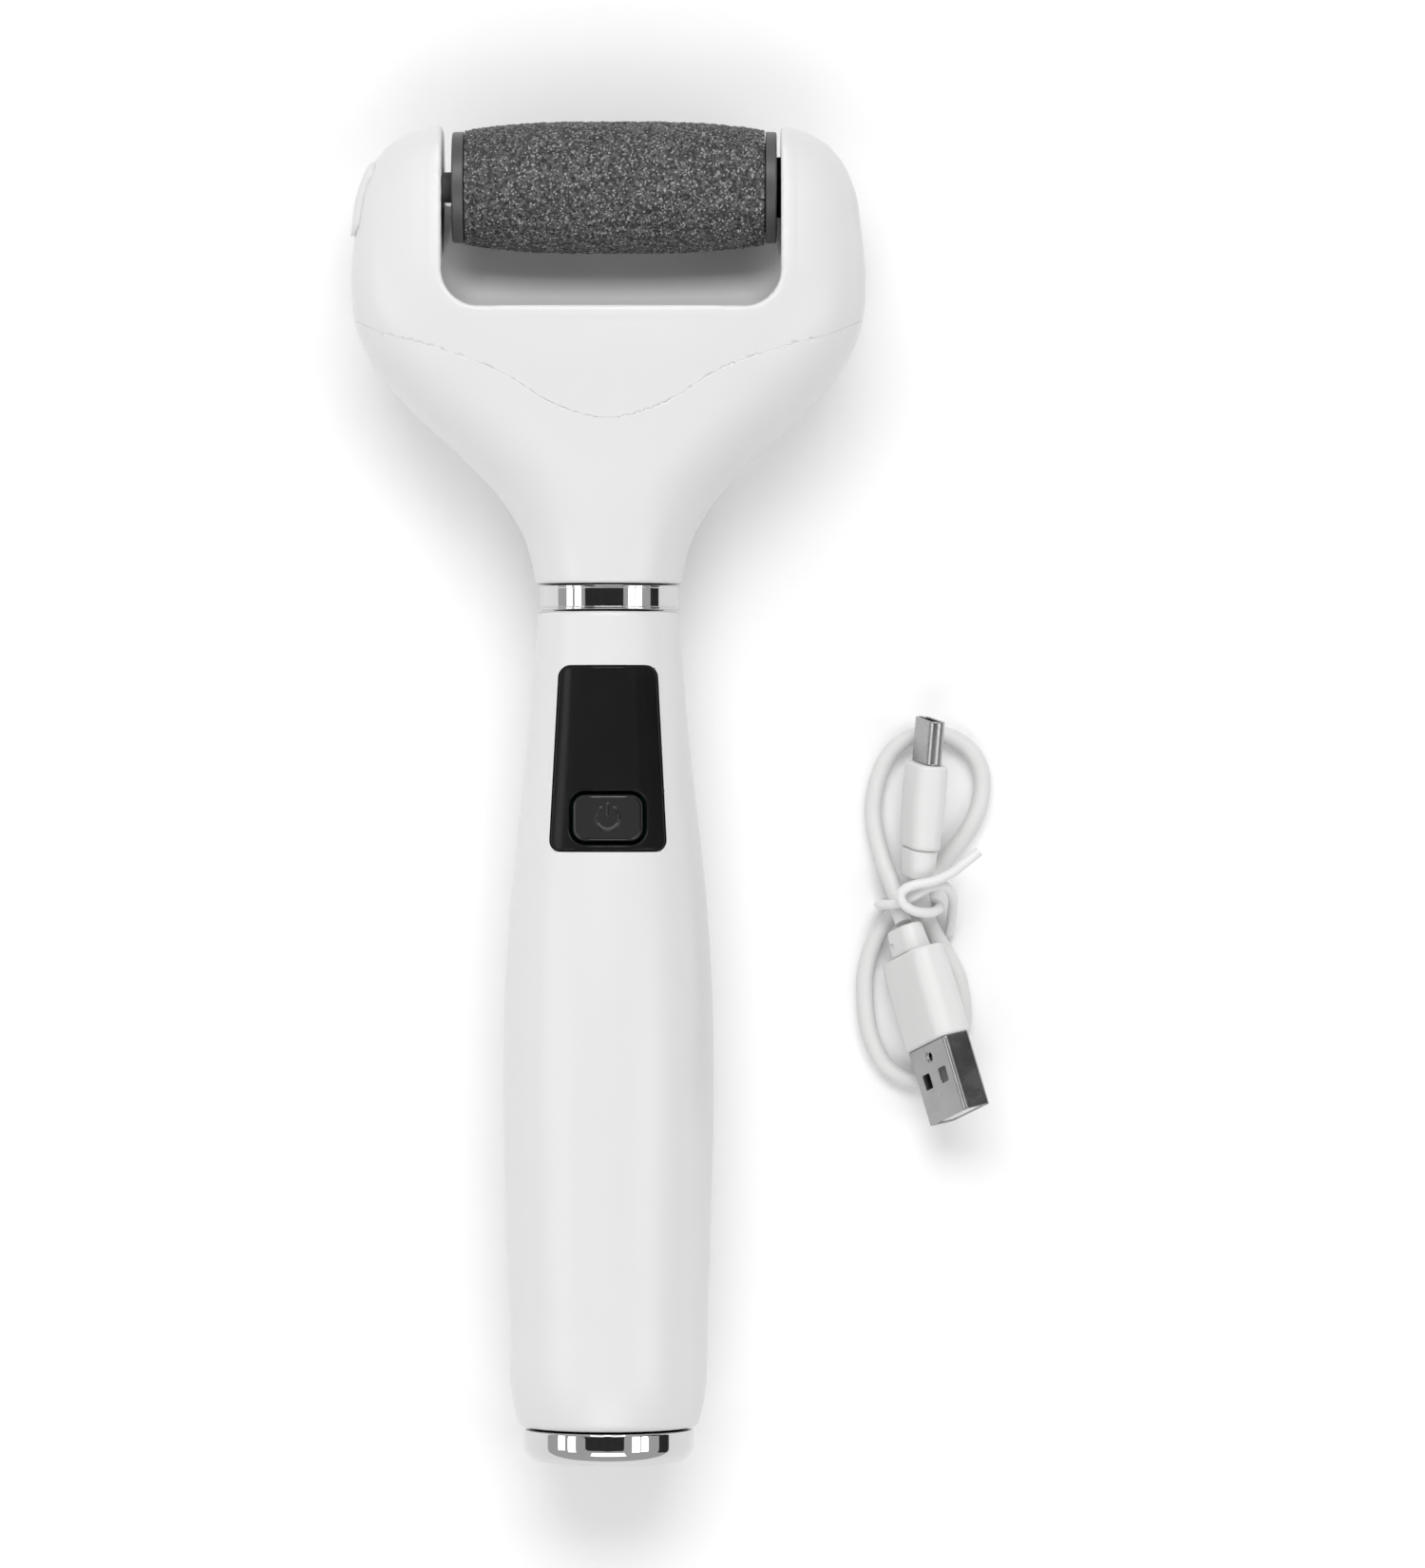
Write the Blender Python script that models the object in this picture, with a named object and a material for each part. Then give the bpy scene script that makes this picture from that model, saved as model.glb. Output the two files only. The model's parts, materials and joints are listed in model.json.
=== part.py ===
"""Electric callus remover lying on its back, with its charging lead beside it.

Frame: metres, +Z up. X runs across the device, +Y runs along it from the end cap to the roller,
and Z = 0 is the surface that the device lies on. X = 0 is the device's plane of symmetry.
"""

import math

import bpy
import numpy as np

MM = 0.001
GAP = 0.3  # clearance between neighbouring pieces, in millimetres like every size below

# Driving dimensions of the housing
AXIS_Z = 15.8  # height of the handle's centre line
HANDLE_END = -95.4
HANDLE_TOP = 26.95
RING_LOW, RING_HIGH, RING_RADIUS = 27.25, 30.85, 10.72
NECK_LOW, HEAD_TOP = 31.15, 99.6
WALL = 2.0
CAP_LOW, CAP_HIGH, CAP_RADIUS = -100.46, -95.7, 12.72

# Stations along Y: y, half width, half depth, centre height, squareness of the section
HANDLE_STATIONS = (
    (HANDLE_END, 13.3, 13.2, AXIS_Z, 2.0),
    (-93.6, 13.85, 13.75, AXIS_Z, 2.0),
    (-78.0, 14.9, 14.8, AXIS_Z, 2.0),
    (-60.0, 15.5, 15.4, AXIS_Z, 2.0),
    (-44.0, 15.8, 15.7, AXIS_Z, 2.0),
    (-30.0, 15.55, 15.45, AXIS_Z, 2.0),
    (-14.0, 14.5, 14.3, AXIS_Z, 2.0),
    (2.0, 12.7, 12.6, AXIS_Z, 2.0),
    (18.0, 11.2, 11.2, AXIS_Z, 2.0),
    (HANDLE_TOP, 10.7, 10.7, AXIS_Z, 2.0),
)
HEAD_STATIONS = (
    (NECK_LOW, 10.9, 10.9, AXIS_Z, 2.05),
    (38.0, 12.7, 11.6, 15.7, 2.2),
    (44.2, 16.5, 12.7, 15.5, 2.35),
    (51.0, 23.1, 14.2, 15.3, 2.5),
    (58.0, 30.5, 15.3, 15.2, 2.7),
    (64.0, 35.4, 15.8, 15.3, 2.9),
    (70.0, 38.0, 15.8, 15.4, 3.2),
    (76.0, 38.6, 15.2, 15.6, 3.5),
    (84.0, 38.0, 13.4, 16.2, 3.6),
    (91.0, 36.7, 11.5, 16.8, 3.6),
    (95.2, 34.5, 10.4, 17.3, 3.4),
    (97.6, 32.0, 9.4, 17.6, 3.2),
    (99.0, 29.1, 8.4, 17.8, 3.0),
    (HEAD_TOP, 27.0, 7.4, 18.0, 3.0),
)
SEAM_STATIONS = ((0.0, 55.4), (8.0, 57.6), (16.0, 62.4), (25.0, 65.9), (35.0, 69.0), (41.0, 72.2))

# Roller bay and roller
AXLE_Y, AXLE_Z = 90.6, 18.5
BAY_LEFT, BAY_RIGHT = -24.9, 25.9
BAY_Y, BAY_Z, BAY_RADIUS, BAY_CORNER = 91.5, 26.0, 19.67, 5.8
BAY_REAR = 88.5  # behind the roller the bay is open above this line
BAY_WALL = 2.0
RIM_LEFT, SLEEVE_LEFT, SLEEVE_RIGHT, RIM_RIGHT = -23.4, -21.5, 23.4, 25.2
SLEEVE_RADIUS, SLEEVE_END_RADIUS, RIM_RADIUS, CORE_RADIUS = 9.85, 8.5, 8.3, 6.6
PLATE_RADIUS, PLATE_DEPTH = 9.8, 1.0
PIN_RADIUS = 2.3

# Display window and power button in the front of the handle
WINDOW_LOW, WINDOW_HIGH = -9.0, 18.9
WINDOW_LOW_WIDTH, WINDOW_HIGH_WIDTH, WINDOW_CORNER = 17.7, 14.8, 1.8
BUTTON_Y, BUTTON_WIDTH, BUTTON_HEIGHT, BUTTON_CORNER = -3.9, 10.5, 7.0, 1.9
BUTTON_GROOVE = 0.5

# Drive train in the right arm: teeth from the motor to the roller
MODULE = 0.6
PINION_TEETH, LOWER_TEETH, UPPER_TEETH, DRIVE_TEETH = 10, 20, 14, 14
MESH_CLEARANCE = 0.05
GEAR_X, GEAR_WIDTH = 28.2, 1.8
MOTOR_Y, MOTOR_Z, MOTOR_RADIUS, MOTOR_FLAT = 63.6, 13.5, 8.6, 7.2
MOTOR_LEFT, MOTOR_RIGHT = -18.0, 13.0
GEAR_PIN_RADIUS = 0.9

# Release mechanism in the left arm
RELEASE_Y, RELEASE_LENGTH, RELEASE_HEIGHT = 88.85, 11.1, 5.2
LEVER_X, LEVER_Y, LEVER_Z, LEVER_THICKNESS, LEVER_DEPTH = -29.8, 84.0, 14.2, 1.6, 2.4
PIN_LEFT, PIN_RIGHT = -31.3, -22.0
RELEASE_PROUD = 0.6

# Electronics
BOARD_SCREW_X, BOARD_SCREW_Y = 4.4, 21.6

# Charging lead
CORD_DIAMETER, TIE_DIAMETER = 2.6, 1.5

COLOURS = {
    # name: base colour, roughness, metallic
    "white_plastic": ((0.86, 0.86, 0.85), 0.32, 0.0),
    "chrome": ((0.80, 0.80, 0.81), 0.08, 1.0),
    "black_gloss": ((0.012, 0.012, 0.013), 0.06, 0.0),
    "black_plastic": ((0.025, 0.025, 0.027), 0.5, 0.0),
    "grit": ((0.075, 0.075, 0.078), 0.85, 0.0),
    "rim_plastic": ((0.06, 0.06, 0.063), 0.45, 0.0),
    "steel": ((0.55, 0.55, 0.56), 0.3, 1.0),
    "brass": ((0.72, 0.53, 0.24), 0.3, 1.0),
    "inner_plastic": ((0.55, 0.56, 0.57), 0.5, 0.0),
    "gear_plastic": ((0.78, 0.76, 0.68), 0.4, 0.0),
    "board": ((0.02, 0.16, 0.07), 0.45, 0.0),
    "display_glass": ((0.02, 0.03, 0.035), 0.12, 0.0),
    "battery_wrap": ((0.03, 0.12, 0.35), 0.35, 0.0),
    "cord_white": ((0.8, 0.8, 0.79), 0.4, 0.0),
    "tie_white": ((0.88, 0.88, 0.88), 0.4, 0.0),
}


def clear_scene():
    for obj in list(bpy.data.objects):
        bpy.data.objects.remove(obj, do_unlink=True)


def make_materials():
    made = {}
    for name, (colour, roughness, metallic) in COLOURS.items():
        material = bpy.data.materials.new(name)
        material.use_nodes = True
        shader = material.node_tree.nodes["Principled BSDF"]
        shader.inputs["Base Color"].default_value = (*colour, 1.0)
        shader.inputs["Roughness"].default_value = roughness
        shader.inputs["Metallic"].default_value = metallic
        material.diffuse_color = (*colour, 1.0)
        made[name] = material
    return made


clear_scene()
MATERIALS = make_materials()


# ---------------------------------------------------------------- mesh helpers


def mesh_object(name, points, faces, material=None, origin=(0.0, 0.0, 0.0)):
    """An object whose points are given in world millimetres and whose origin is at `origin`."""
    mesh = bpy.data.meshes.new(name)
    local = [[(p[i] - origin[i]) * MM for i in range(3)] for p in points]
    mesh.from_pydata(local, [], faces)
    mesh.update()
    obj = bpy.data.objects.new(name, mesh)
    obj.location = [value * MM for value in origin]
    bpy.context.scene.collection.objects.link(obj)
    if material:
        mesh.materials.append(MATERIALS[material])
    else:
        obj.hide_render = True
        obj.display_type = "WIRE"
    return obj


def facing_out(points, faces):
    """The faces turned so that the solid's volume is positive."""
    spots = np.array(points, float)
    volume = 0.0
    for face in faces:
        for b, c in zip(face[1:-1], face[2:]):
            volume += np.dot(spots[face[0]], np.cross(spots[b], spots[c]))
    return [tuple(reversed(face)) for face in faces] if volume < 0 else faces


def lofted(rings):
    """Points and faces of a closed solid through rings of equal point count, with flat ends."""
    count = len(rings[0])
    points = [p for ring in rings for p in ring]
    faces = []
    for r in range(len(rings) - 1):
        for i in range(count):
            j = (i + 1) % count
            faces.append((r * count + i, r * count + j, (r + 1) * count + j, (r + 1) * count + i))
    last = (len(rings) - 1) * count
    faces.append(tuple(range(count - 1, -1, -1)))
    faces.append(tuple(range(last, last + count)))
    return points, facing_out(points, faces)


def loft(name, rings, material=None, origin=(0.0, 0.0, 0.0)):
    points, faces = lofted(rings)
    return mesh_object(name, points, faces, material, origin)


AXES = {"X": (1, 2, 0), "Y": (2, 0, 1), "Z": (0, 1, 2)}  # axes across, across and along


def revolved(name, profile, axis, centre, segments, material=None, origin=(0.0, 0.0, 0.0)):
    """A solid turned from a closed profile of (along, radius) points; along is a world coordinate."""
    across_a, across_b, along = AXES[axis]
    points, faces, rows = [], [], []
    for distance, radius in profile:
        steps = 1 if radius < 1e-6 else segments
        row = []
        for i in range(steps):
            angle = 2 * math.pi * i / segments
            p = [0.0, 0.0, 0.0]
            p[across_a] = centre[across_a] + radius * math.cos(angle)
            p[across_b] = centre[across_b] + radius * math.sin(angle)
            p[along] = distance
            row.append(len(points))
            points.append(p)
        rows.append(row)
    for first, second in zip(rows, rows[1:] + rows[:1]):
        if len(first) == 1 and len(second) == 1:
            continue
        for i in range(segments):
            j = (i + 1) % segments
            if len(first) == 1:
                faces.append((first[0], second[j], second[i]))
            elif len(second) == 1:
                faces.append((first[i], first[j], second[0]))
            else:
                faces.append((first[i], first[j], second[j], second[i]))
    return mesh_object(name, points, facing_out(points, faces), material, origin)


def cylinder(name, axis, centre, start, end, radius, segments=24, material=None, origin=(0, 0, 0)):
    profile = [(start, 0), (start, radius), (end, radius), (end, 0)]
    return revolved(name, profile, axis, centre, segments, material, origin)


def prism(name, outline, axis, start, end, material=None, origin=(0.0, 0.0, 0.0)):
    """An outline of (across, across) points carried along an axis from start to end."""
    across_a, across_b, along = AXES[axis]
    rings = []
    for distance in (start, end):
        ring = []
        for a, b in outline:
            p = [0.0, 0.0, 0.0]
            p[across_a], p[across_b], p[along] = a, b, distance
            ring.append(p)
        rings.append(ring)
    return loft(name, rings, material, origin)


def box(name, low, high, material=None, origin=(0.0, 0.0, 0.0)):
    outline = [(low[0], low[1]), (high[0], low[1]), (high[0], high[1]), (low[0], high[1])]
    return prism(name, outline, "Z", low[2], high[2], material, origin)


def rounded_box(name, low, high, radius, axis="Z", material=None, origin=(0.0, 0.0, 0.0)):
    """A box whose four edges along `axis` are rounded."""
    a, b, along = AXES[axis]
    outline = rounded_rectangle(
        (low[a] + high[a]) / 2, (low[b] + high[b]) / 2, high[a] - low[a], high[b] - low[b], radius
    )
    return prism(name, outline, axis, low[along], high[along], material, origin)


def rounded_polygon(corners, radius, steps=4):
    """Corners of a convex outline, counter-clockwise, each replaced by an arc."""
    outline = []
    count = len(corners)
    for i in range(count):
        before, here, after = (np.array(corners[(i + k) % count], float) for k in (-1, 0, 1))
        to_before = (before - here) / np.linalg.norm(before - here)
        to_after = (after - here) / np.linalg.norm(after - here)
        half = math.acos(float(np.clip(np.dot(to_before, to_after), -1, 1))) / 2
        middle = to_before + to_after
        centre = here + middle / np.linalg.norm(middle) * radius / math.sin(half)
        start = here + to_before * radius / math.tan(half) - centre
        sweep = math.pi - 2 * half
        for k in range(steps + 1):
            angle = sweep * k / steps
            cos, sin = math.cos(angle), math.sin(angle)
            outline.append(
                (centre[0] + start[0] * cos - start[1] * sin, centre[1] + start[0] * sin + start[1] * cos)
            )
    return outline


def rounded_rectangle(x, y, width, height, radius, steps=4):
    w, h = width / 2, height / 2
    corners = ((x - w, y - h), (x + w, y - h), (x + w, y + h), (x - w, y + h))
    return rounded_polygon(corners, radius, steps)


def combine(target, operation, *tools):
    for tool in tools:
        modifier = target.modifiers.new(tool.name, "BOOLEAN")
        modifier.operation = operation
        modifier.solver = "EXACT"
        modifier.object = tool
    return target


def cut(target, *tools):
    return combine(target, "DIFFERENCE", *tools)


def join(target, *tools):
    return combine(target, "UNION", *tools)


def keep_inside(target, *tools):
    return combine(target, "INTERSECT", *tools)


def smooth(obj, angle=35.0):
    """Smooth shading on round pieces, with edges sharper than the angle left crisp."""
    for polygon in obj.data.polygons:
        polygon.use_smooth = True
    obj.data.set_sharp_from_angle(angle=math.radians(angle))
    return obj


# ---------------------------------------------------------------- curves and sections


def spline_value(stations, at, column):
    """Smooth interpolation through stations, with slopes taken from their neighbours."""
    xs = [row[0] for row in stations]
    ys = [row[column] for row in stations]
    at = min(max(at, xs[0]), xs[-1])
    k = max(i for i in range(len(xs) - 1) if xs[i] <= at)
    slopes = np.gradient(ys, xs)
    width = xs[k + 1] - xs[k]
    t = (at - xs[k]) / width
    return (
        ys[k] * (2 * t**3 - 3 * t**2 + 1)
        + slopes[k] * width * (t**3 - 2 * t**2 + t)
        + ys[k + 1] * (3 * t**2 - 2 * t**3)
        + slopes[k + 1] * width * (t**3 - t**2)
    )


def section(stations, y, inset, segments):
    """One ring of the housing at y, moved inwards by `inset`, never below the rest plane."""
    half_width, half_depth, centre, square = (spline_value(stations, y, c) for c in (1, 2, 3, 4))
    ring = []
    for i in range(segments):
        angle = 2 * math.pi * (i + 0.5) / segments
        cos, sin = math.cos(angle), math.sin(angle)
        x = math.copysign(abs(cos) ** (2 / square), cos) * (half_width - inset)
        z = math.copysign(abs(sin) ** (2 / square), sin) * (half_depth - inset)
        ring.append((x, y, max(centre + z, inset)))
    return ring


def housing_loft(name, stations, low, high, rings, inset=0.0, segments=40, material=None):
    """A solid through the housing's sections between two heights, with rings closer near the top."""
    spread = [low + (high - low) * i / (rings - 1) for i in range(rings)]
    return loft(name, [section(stations, y, inset, segments) for y in spread], material)


def head_loft(name, inset=0.0, low=NECK_LOW, segments=44, material=None):
    """The head's outer or inner shape. Its rings crowd together where the shoulders turn in."""
    top = HEAD_TOP - inset
    spread = [low + (91.0 - low) * i / 11 for i in range(12)]
    spread += [91.0 + (top - 91.0) * math.sin(math.pi / 2 * i / 5) for i in range(1, 6)]
    return loft(name, [section(HEAD_STATIONS, y, inset, segments) for y in spread], material)


def tube(name, points, diameter, material, resolution=2, closed=False):
    """A curve object of a round wire through points given in world millimetres."""
    curve = bpy.data.curves.new(name, "CURVE")
    curve.dimensions = "3D"
    curve.bevel_depth = diameter / 2 * MM
    curve.bevel_resolution = resolution
    curve.use_fill_caps = True
    line = curve.splines.new("POLY")
    line.points.add(len(points) - 1)
    for spot, p in zip(line.points, points):
        spot.co = (p[0] * MM, p[1] * MM, p[2] * MM, 1.0)
    line.use_cyclic_u = closed
    obj = bpy.data.objects.new(name, curve)
    bpy.context.scene.collection.objects.link(obj)
    curve.materials.append(MATERIALS[material])
    return obj


def smooth_route(points, spacing):
    """Evenly spaced points on a smooth curve through a hand-chosen route."""
    route = np.array(points, float)
    ends = [2 * route[0] - route[1], *route, 2 * route[-1] - route[-2]]
    fine = []
    for a, b, c, d in zip(ends, ends[1:], ends[2:], ends[3:]):
        for t in np.linspace(0, 1, 24, endpoint=False):
            square, cube = 2 * a - 5 * b + 4 * c - d, 3 * b - a - 3 * c + d
            fine.append(0.5 * (2 * b + (c - a) * t + square * t**2 + cube * t**3))
    fine = np.array([*fine, route[-1]])
    along = np.concatenate([[0], np.cumsum(np.linalg.norm(np.diff(fine, axis=0), axis=1))])
    wanted = np.linspace(0, along[-1], max(2, round(along[-1] / spacing) + 1))
    return np.stack([np.interp(wanted, along, fine[:, k]) for k in range(3)], axis=1)


# ---------------------------------------------------------------- housing


def bay_cutter(name, grow=0.0):
    """The roller bay: a barrel with rounded ends along X, open above its rear edge."""
    left, right, radius = BAY_LEFT - grow, BAY_RIGHT + grow, BAY_RADIUS + grow
    corner, steps = BAY_CORNER + grow, 5
    profile = [(left, 0.0)]
    for i in range(steps + 1):
        angle = math.pi / 2 * i / steps
        across = radius - corner + corner * math.sin(angle)
        profile.append((left + corner - corner * math.cos(angle), across))
    for i in range(steps, -1, -1):
        angle = math.pi / 2 * i / steps
        across = radius - corner + corner * math.sin(angle)
        profile.append((right - corner + corner * math.cos(angle), across))
    profile.append((right, 0.0))
    barrel = revolved(name, profile, "X", (0, BAY_Y, BAY_Z), 48)
    opening = box(name + "_open", (left, BAY_REAR - grow, -5), (right, 130, 60))
    return join(barrel, opening)


def above_seam(name, shift):
    """Everything above the wavy joint line of the head, moved up or down by `shift`."""
    edge = SEAM_STATIONS[-1][0]
    xs = [-edge + 2 * edge * i / 28 for i in range(29)]
    wave = [(x, spline_value(SEAM_STATIONS, abs(x), 1) + shift) for x in xs]
    return prism(name, [*wave, (60, wave[-1][1]), (60, 125), (-60, 125), (-60, wave[0][1])], "Z", -10, 60)


def arm_hole(name, start, end, radius, y=AXLE_Y, z=AXLE_Z):
    return cylinder(name, "X", (0, y, z), start, end, radius, 28)


def release_hole(name, grow):
    low = (-60, RELEASE_Y - RELEASE_LENGTH / 2 - grow, AXLE_Z - RELEASE_HEIGHT / 2 - grow)
    high = (-32.5, RELEASE_Y + RELEASE_LENGTH / 2 + grow, AXLE_Z + RELEASE_HEIGHT / 2 + grow)
    return rounded_box(name, low, high, 2.0 + grow, "X")


def make_head_cover():
    cover = head_loft("head_cover", material="white_plastic")
    cavity = head_loft("cover_cavity", WALL, NECK_LOW - 2, segments=40)
    cut(cavity, bay_cutter("bay_wall", BAY_WALL))
    cut(cover, cavity, bay_cutter("bay"))
    seats = (
        ("left_plate_seat", BAY_LEFT - PLATE_DEPTH - GAP, BAY_LEFT + 1),
        ("right_plate_seat", BAY_RIGHT - 1, BAY_RIGHT + PLATE_DEPTH + GAP),
    )
    for name, start, end in seats:
        cut(cover, plate_seat(name, start, end, PLATE_RADIUS + GAP, 1.0))
    cut(cover, arm_hole("pin_bore", BAY_LEFT - 5, BAY_LEFT + 1, PIN_RADIUS + GAP))
    cut(cover, arm_hole("hub_bore", BAY_RIGHT - 1, GEAR_X, 3.3))
    cut(cover, release_hole("release_opening", GAP))
    keep_inside(cover, above_seam("upper_region", GAP / 2))
    return smooth(cover)


def make_neck_shell():
    shell = head_loft("neck_shell", material="white_plastic")
    cut(shell, head_loft("neck_cavity", WALL, NECK_LOW - 2, segments=40))
    cut(shell, above_seam("upper_cut", -GAP / 2))
    return smooth(shell)


def make_neck_ring():
    edge = 0.25
    profile = [
        (RING_LOW, 8.4), (RING_LOW, RING_RADIUS - edge), (RING_LOW + edge, RING_RADIUS),
        (RING_HIGH - edge, RING_RADIUS), (RING_HIGH, RING_RADIUS - edge), (RING_HIGH, 8.4),
    ]
    return smooth(revolved("neck_ring", profile, "Y", (0, 0, AXIS_Z), 48, "chrome"))


def window_outline(inset):
    low, high = WINDOW_LOW_WIDTH / 2 - inset, WINDOW_HIGH_WIDTH / 2 - inset
    corners = (
        (-low, WINDOW_LOW + inset), (low, WINDOW_LOW + inset),
        (high, WINDOW_HIGH - inset), (-high, WINDOW_HIGH - inset),
    )
    return rounded_polygon(corners, WINDOW_CORNER - inset, 5)


def button_outline(grow):
    return rounded_rectangle(
        0, BUTTON_Y, BUTTON_WIDTH + 2 * grow, BUTTON_HEIGHT + 2 * grow, BUTTON_CORNER + grow, 5
    )


def handle_loft(name, inset=0.0, material=None, rings=16, segments=44):
    return housing_loft(name, HANDLE_STATIONS, HANDLE_END, HANDLE_TOP, rings, inset, segments, material)


def make_handle():
    shell = handle_loft("handle_shell", material="white_plastic")
    bore = handle_loft("handle_bore", WALL - 0.2, None, 8, 28)
    ends = [
        cylinder("bore_top", "Y", (0, 0, AXIS_Z), HANDLE_TOP - 1, HANDLE_TOP + 5, 8.9),
        cylinder("bore_bottom", "Y", (0, 0, AXIS_Z), HANDLE_END - 5, HANDLE_END + 1, 11.5),
    ]
    cut(shell, join(bore, *ends), prism("window_opening", window_outline(0.0), "Z", AXIS_Z, 40))
    window = handle_loft("display_window", material="black_gloss")
    keep_inside(window, prism("window_region", window_outline(0.15), "Z", AXIS_Z, 40))
    inside = handle_loft("window_inside", 1.3, None, 8, 36)
    cut(window, inside, prism("button_hole", button_outline(BUTTON_GROOVE), "Z", 0, 40))
    return smooth(shell), smooth(window)


def make_power_button():
    front = AXIS_Z + spline_value(HANDLE_STATIONS, BUTTON_Y, 2)
    button = handle_loft("power_button", material="black_gloss")
    keep_inside(button, prism("button_region", button_outline(0.0), "Z", front - 2.6, 40))
    stem = cylinder("button_stem", "Z", (0, BUTTON_Y, 0), 25.0, front - 1.5, 1.4, 16)
    return smooth(join(button, stem))


def make_end_cap():
    fillet, steps = 2.3, 5
    centre_y, centre_r = CAP_LOW + fillet, CAP_RADIUS - fillet
    profile = [(CAP_LOW, 0.0)]
    for i in range(steps + 1):
        angle = math.pi / 2 * i / steps
        profile.append((centre_y - fillet * math.cos(angle), centre_r + fillet * math.sin(angle)))
    profile += [(CAP_HIGH, CAP_RADIUS + 0.03), (CAP_HIGH, 11.1), (-90.5, 11.1), (-90.5, 9.6), (-97.6, 9.6)]
    profile.append((-97.6, 0.0))
    cap = revolved("end_cap", profile, "Y", (0, 0, AXIS_Z), 48, "chrome")
    slot = prism("usb_opening", rounded_rectangle(AXIS_Z, 0, 3.9, 9.7, 1.9), "Y", -105, -95)
    return smooth(cut(cap, slot))


# ---------------------------------------------------------------- roller and its drive


def make_roller():
    """The abrasive sleeve on its core, with a rim at each end, all turning about the axle."""
    centre = (0, AXLE_Y, AXLE_Z)
    middle = (SLEEVE_LEFT + SLEEVE_RIGHT) / 2
    half = (SLEEVE_RIGHT - SLEEVE_LEFT) / 2
    bulge = []
    for k in range(-5, 6):
        rise = 1 - (abs(k) / 5) ** 3.2
        bulge.append((middle + half * k / 5, SLEEVE_END_RADIUS + (SLEEVE_RADIUS - SLEEVE_END_RADIUS) * rise))
    profile = [(SLEEVE_LEFT, CORE_RADIUS + GAP), *bulge, (SLEEVE_RIGHT, CORE_RADIUS + GAP)]
    sleeve = revolved("abrasive_sleeve", profile, "X", centre, 40, "grit", centre)
    left, right = RIM_LEFT + 2.4, RIM_RIGHT - 0.4
    core = cylinder("roller_core", "X", centre, left, right, CORE_RADIUS, 28, "black_plastic", centre)
    tongue = box("roller_tongue", (20, AXLE_Y - 4.4, AXLE_Z - 2.1), (26.4, AXLE_Y + 4.4, AXLE_Z + 2.1))
    join(core, tongue)
    left = revolved(
        "left_rim",
        [(RIM_LEFT, PIN_RADIUS + GAP), (RIM_LEFT, RIM_RADIUS - 0.4), (RIM_LEFT + 0.5, RIM_RADIUS),
         (SLEEVE_LEFT - GAP, RIM_RADIUS - 0.2), (SLEEVE_LEFT - GAP, PIN_RADIUS + GAP)],
        "X", centre, 36, "rim_plastic", centre,
    )
    right = revolved(
        "right_rim",
        [(SLEEVE_RIGHT + GAP, CORE_RADIUS + GAP), (SLEEVE_RIGHT + GAP, RIM_RADIUS - 0.2),
         (RIM_RIGHT - 0.5, RIM_RADIUS), (RIM_RIGHT, RIM_RADIUS - 0.4), (RIM_RIGHT, CORE_RADIUS + GAP)],
        "X", centre, 36, "rim_plastic", centre,
    )
    for piece in (sleeve, core, left, right):
        smooth(piece)


def make_drive_hub():
    """The disc that takes the roller's tongue, on the short shaft that carries the drive gear."""
    centre = (0, AXLE_Y, AXLE_Z)
    face, back = BAY_RIGHT + 0.1, BAY_RIGHT + PLATE_DEPTH + 0.1
    profile = [(face, 0), (face, 6.0), (back, 6.0), (back, 3.0), (GEAR_X - GAP, 3.0), (GEAR_X - GAP, 1.7),
               (31.9, 1.7), (31.9, 0)]
    hub = revolved("drive_hub", profile, "X", centre, 28, "black_plastic", centre)
    slot = box("hub_slot", (BAY_RIGHT - 1, AXLE_Y - 10, AXLE_Z - 2.4), (26.7, AXLE_Y + 10, AXLE_Z + 2.4))
    return smooth(cut(hub, slot))


def plate_seat(name, start, end, radius, inset):
    """A disc round the roller's axis that stays inside the arm's own outline."""
    return keep_inside(arm_hole(name, start, end, radius), head_loft(name + "_limit", inset))


def make_bearing_plates():
    """Black discs let into the inner faces of the arms, one round the pin and one round the hub."""
    sides = (
        ("left_bearing_plate", BAY_LEFT - PLATE_DEPTH, BAY_LEFT, PIN_RADIUS + GAP),
        ("right_bearing_plate", BAY_RIGHT, BAY_RIGHT + PLATE_DEPTH, 6.3),
    )
    for name, start, end, bore in sides:
        plate = cylinder(name, "X", (0, AXLE_Y, AXLE_Z), start, end, PLATE_RADIUS, 36, "black_plastic")
        keep_inside(plate, head_loft(name + "_outline", 1.3))
        smooth(cut(plate, arm_hole(name + "_bore", start - 1, end + 1, bore)))


def gear_outline(teeth, phase, centre):
    """An involute tooth outline with a little backlash; two flank points are enough at this size."""
    pressure, backlash = math.radians(22), 0.16
    pitch = teeth * MODULE / 2
    base = pitch * math.cos(pressure)
    root, tip = pitch - 1.2 * MODULE, pitch + 0.85 * MODULE
    half = (math.pi * MODULE / 2 - backlash) / 2 / pitch
    involute = math.tan(pressure) - pressure
    flank = []
    for radius in (root, max(base, root) * 1.001, tip):
        roll = math.acos(min(1.0, base / radius))
        flank.append((radius, half + involute - (math.tan(roll) - roll if radius > base else 0)))
    outline = []
    for k in range(teeth):
        middle = phase + 2 * math.pi * k / teeth
        side = [(r, middle - a) for r, a in flank] + [(r, middle + a) for r, a in reversed(flank)]
        outline += [(centre[0] + r * math.cos(a), centre[1] + r * math.sin(a)) for r, a in side]
    return outline


def meshed_phase(phase, teeth, other_teeth, direction):
    """The phase of the second gear that puts its gap where the first gear's tooth points."""
    share = ((direction - phase) / (2 * math.pi / teeth)) % 1
    return direction + math.pi - 2 * math.pi / other_teeth * (0.5 - share)


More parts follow.
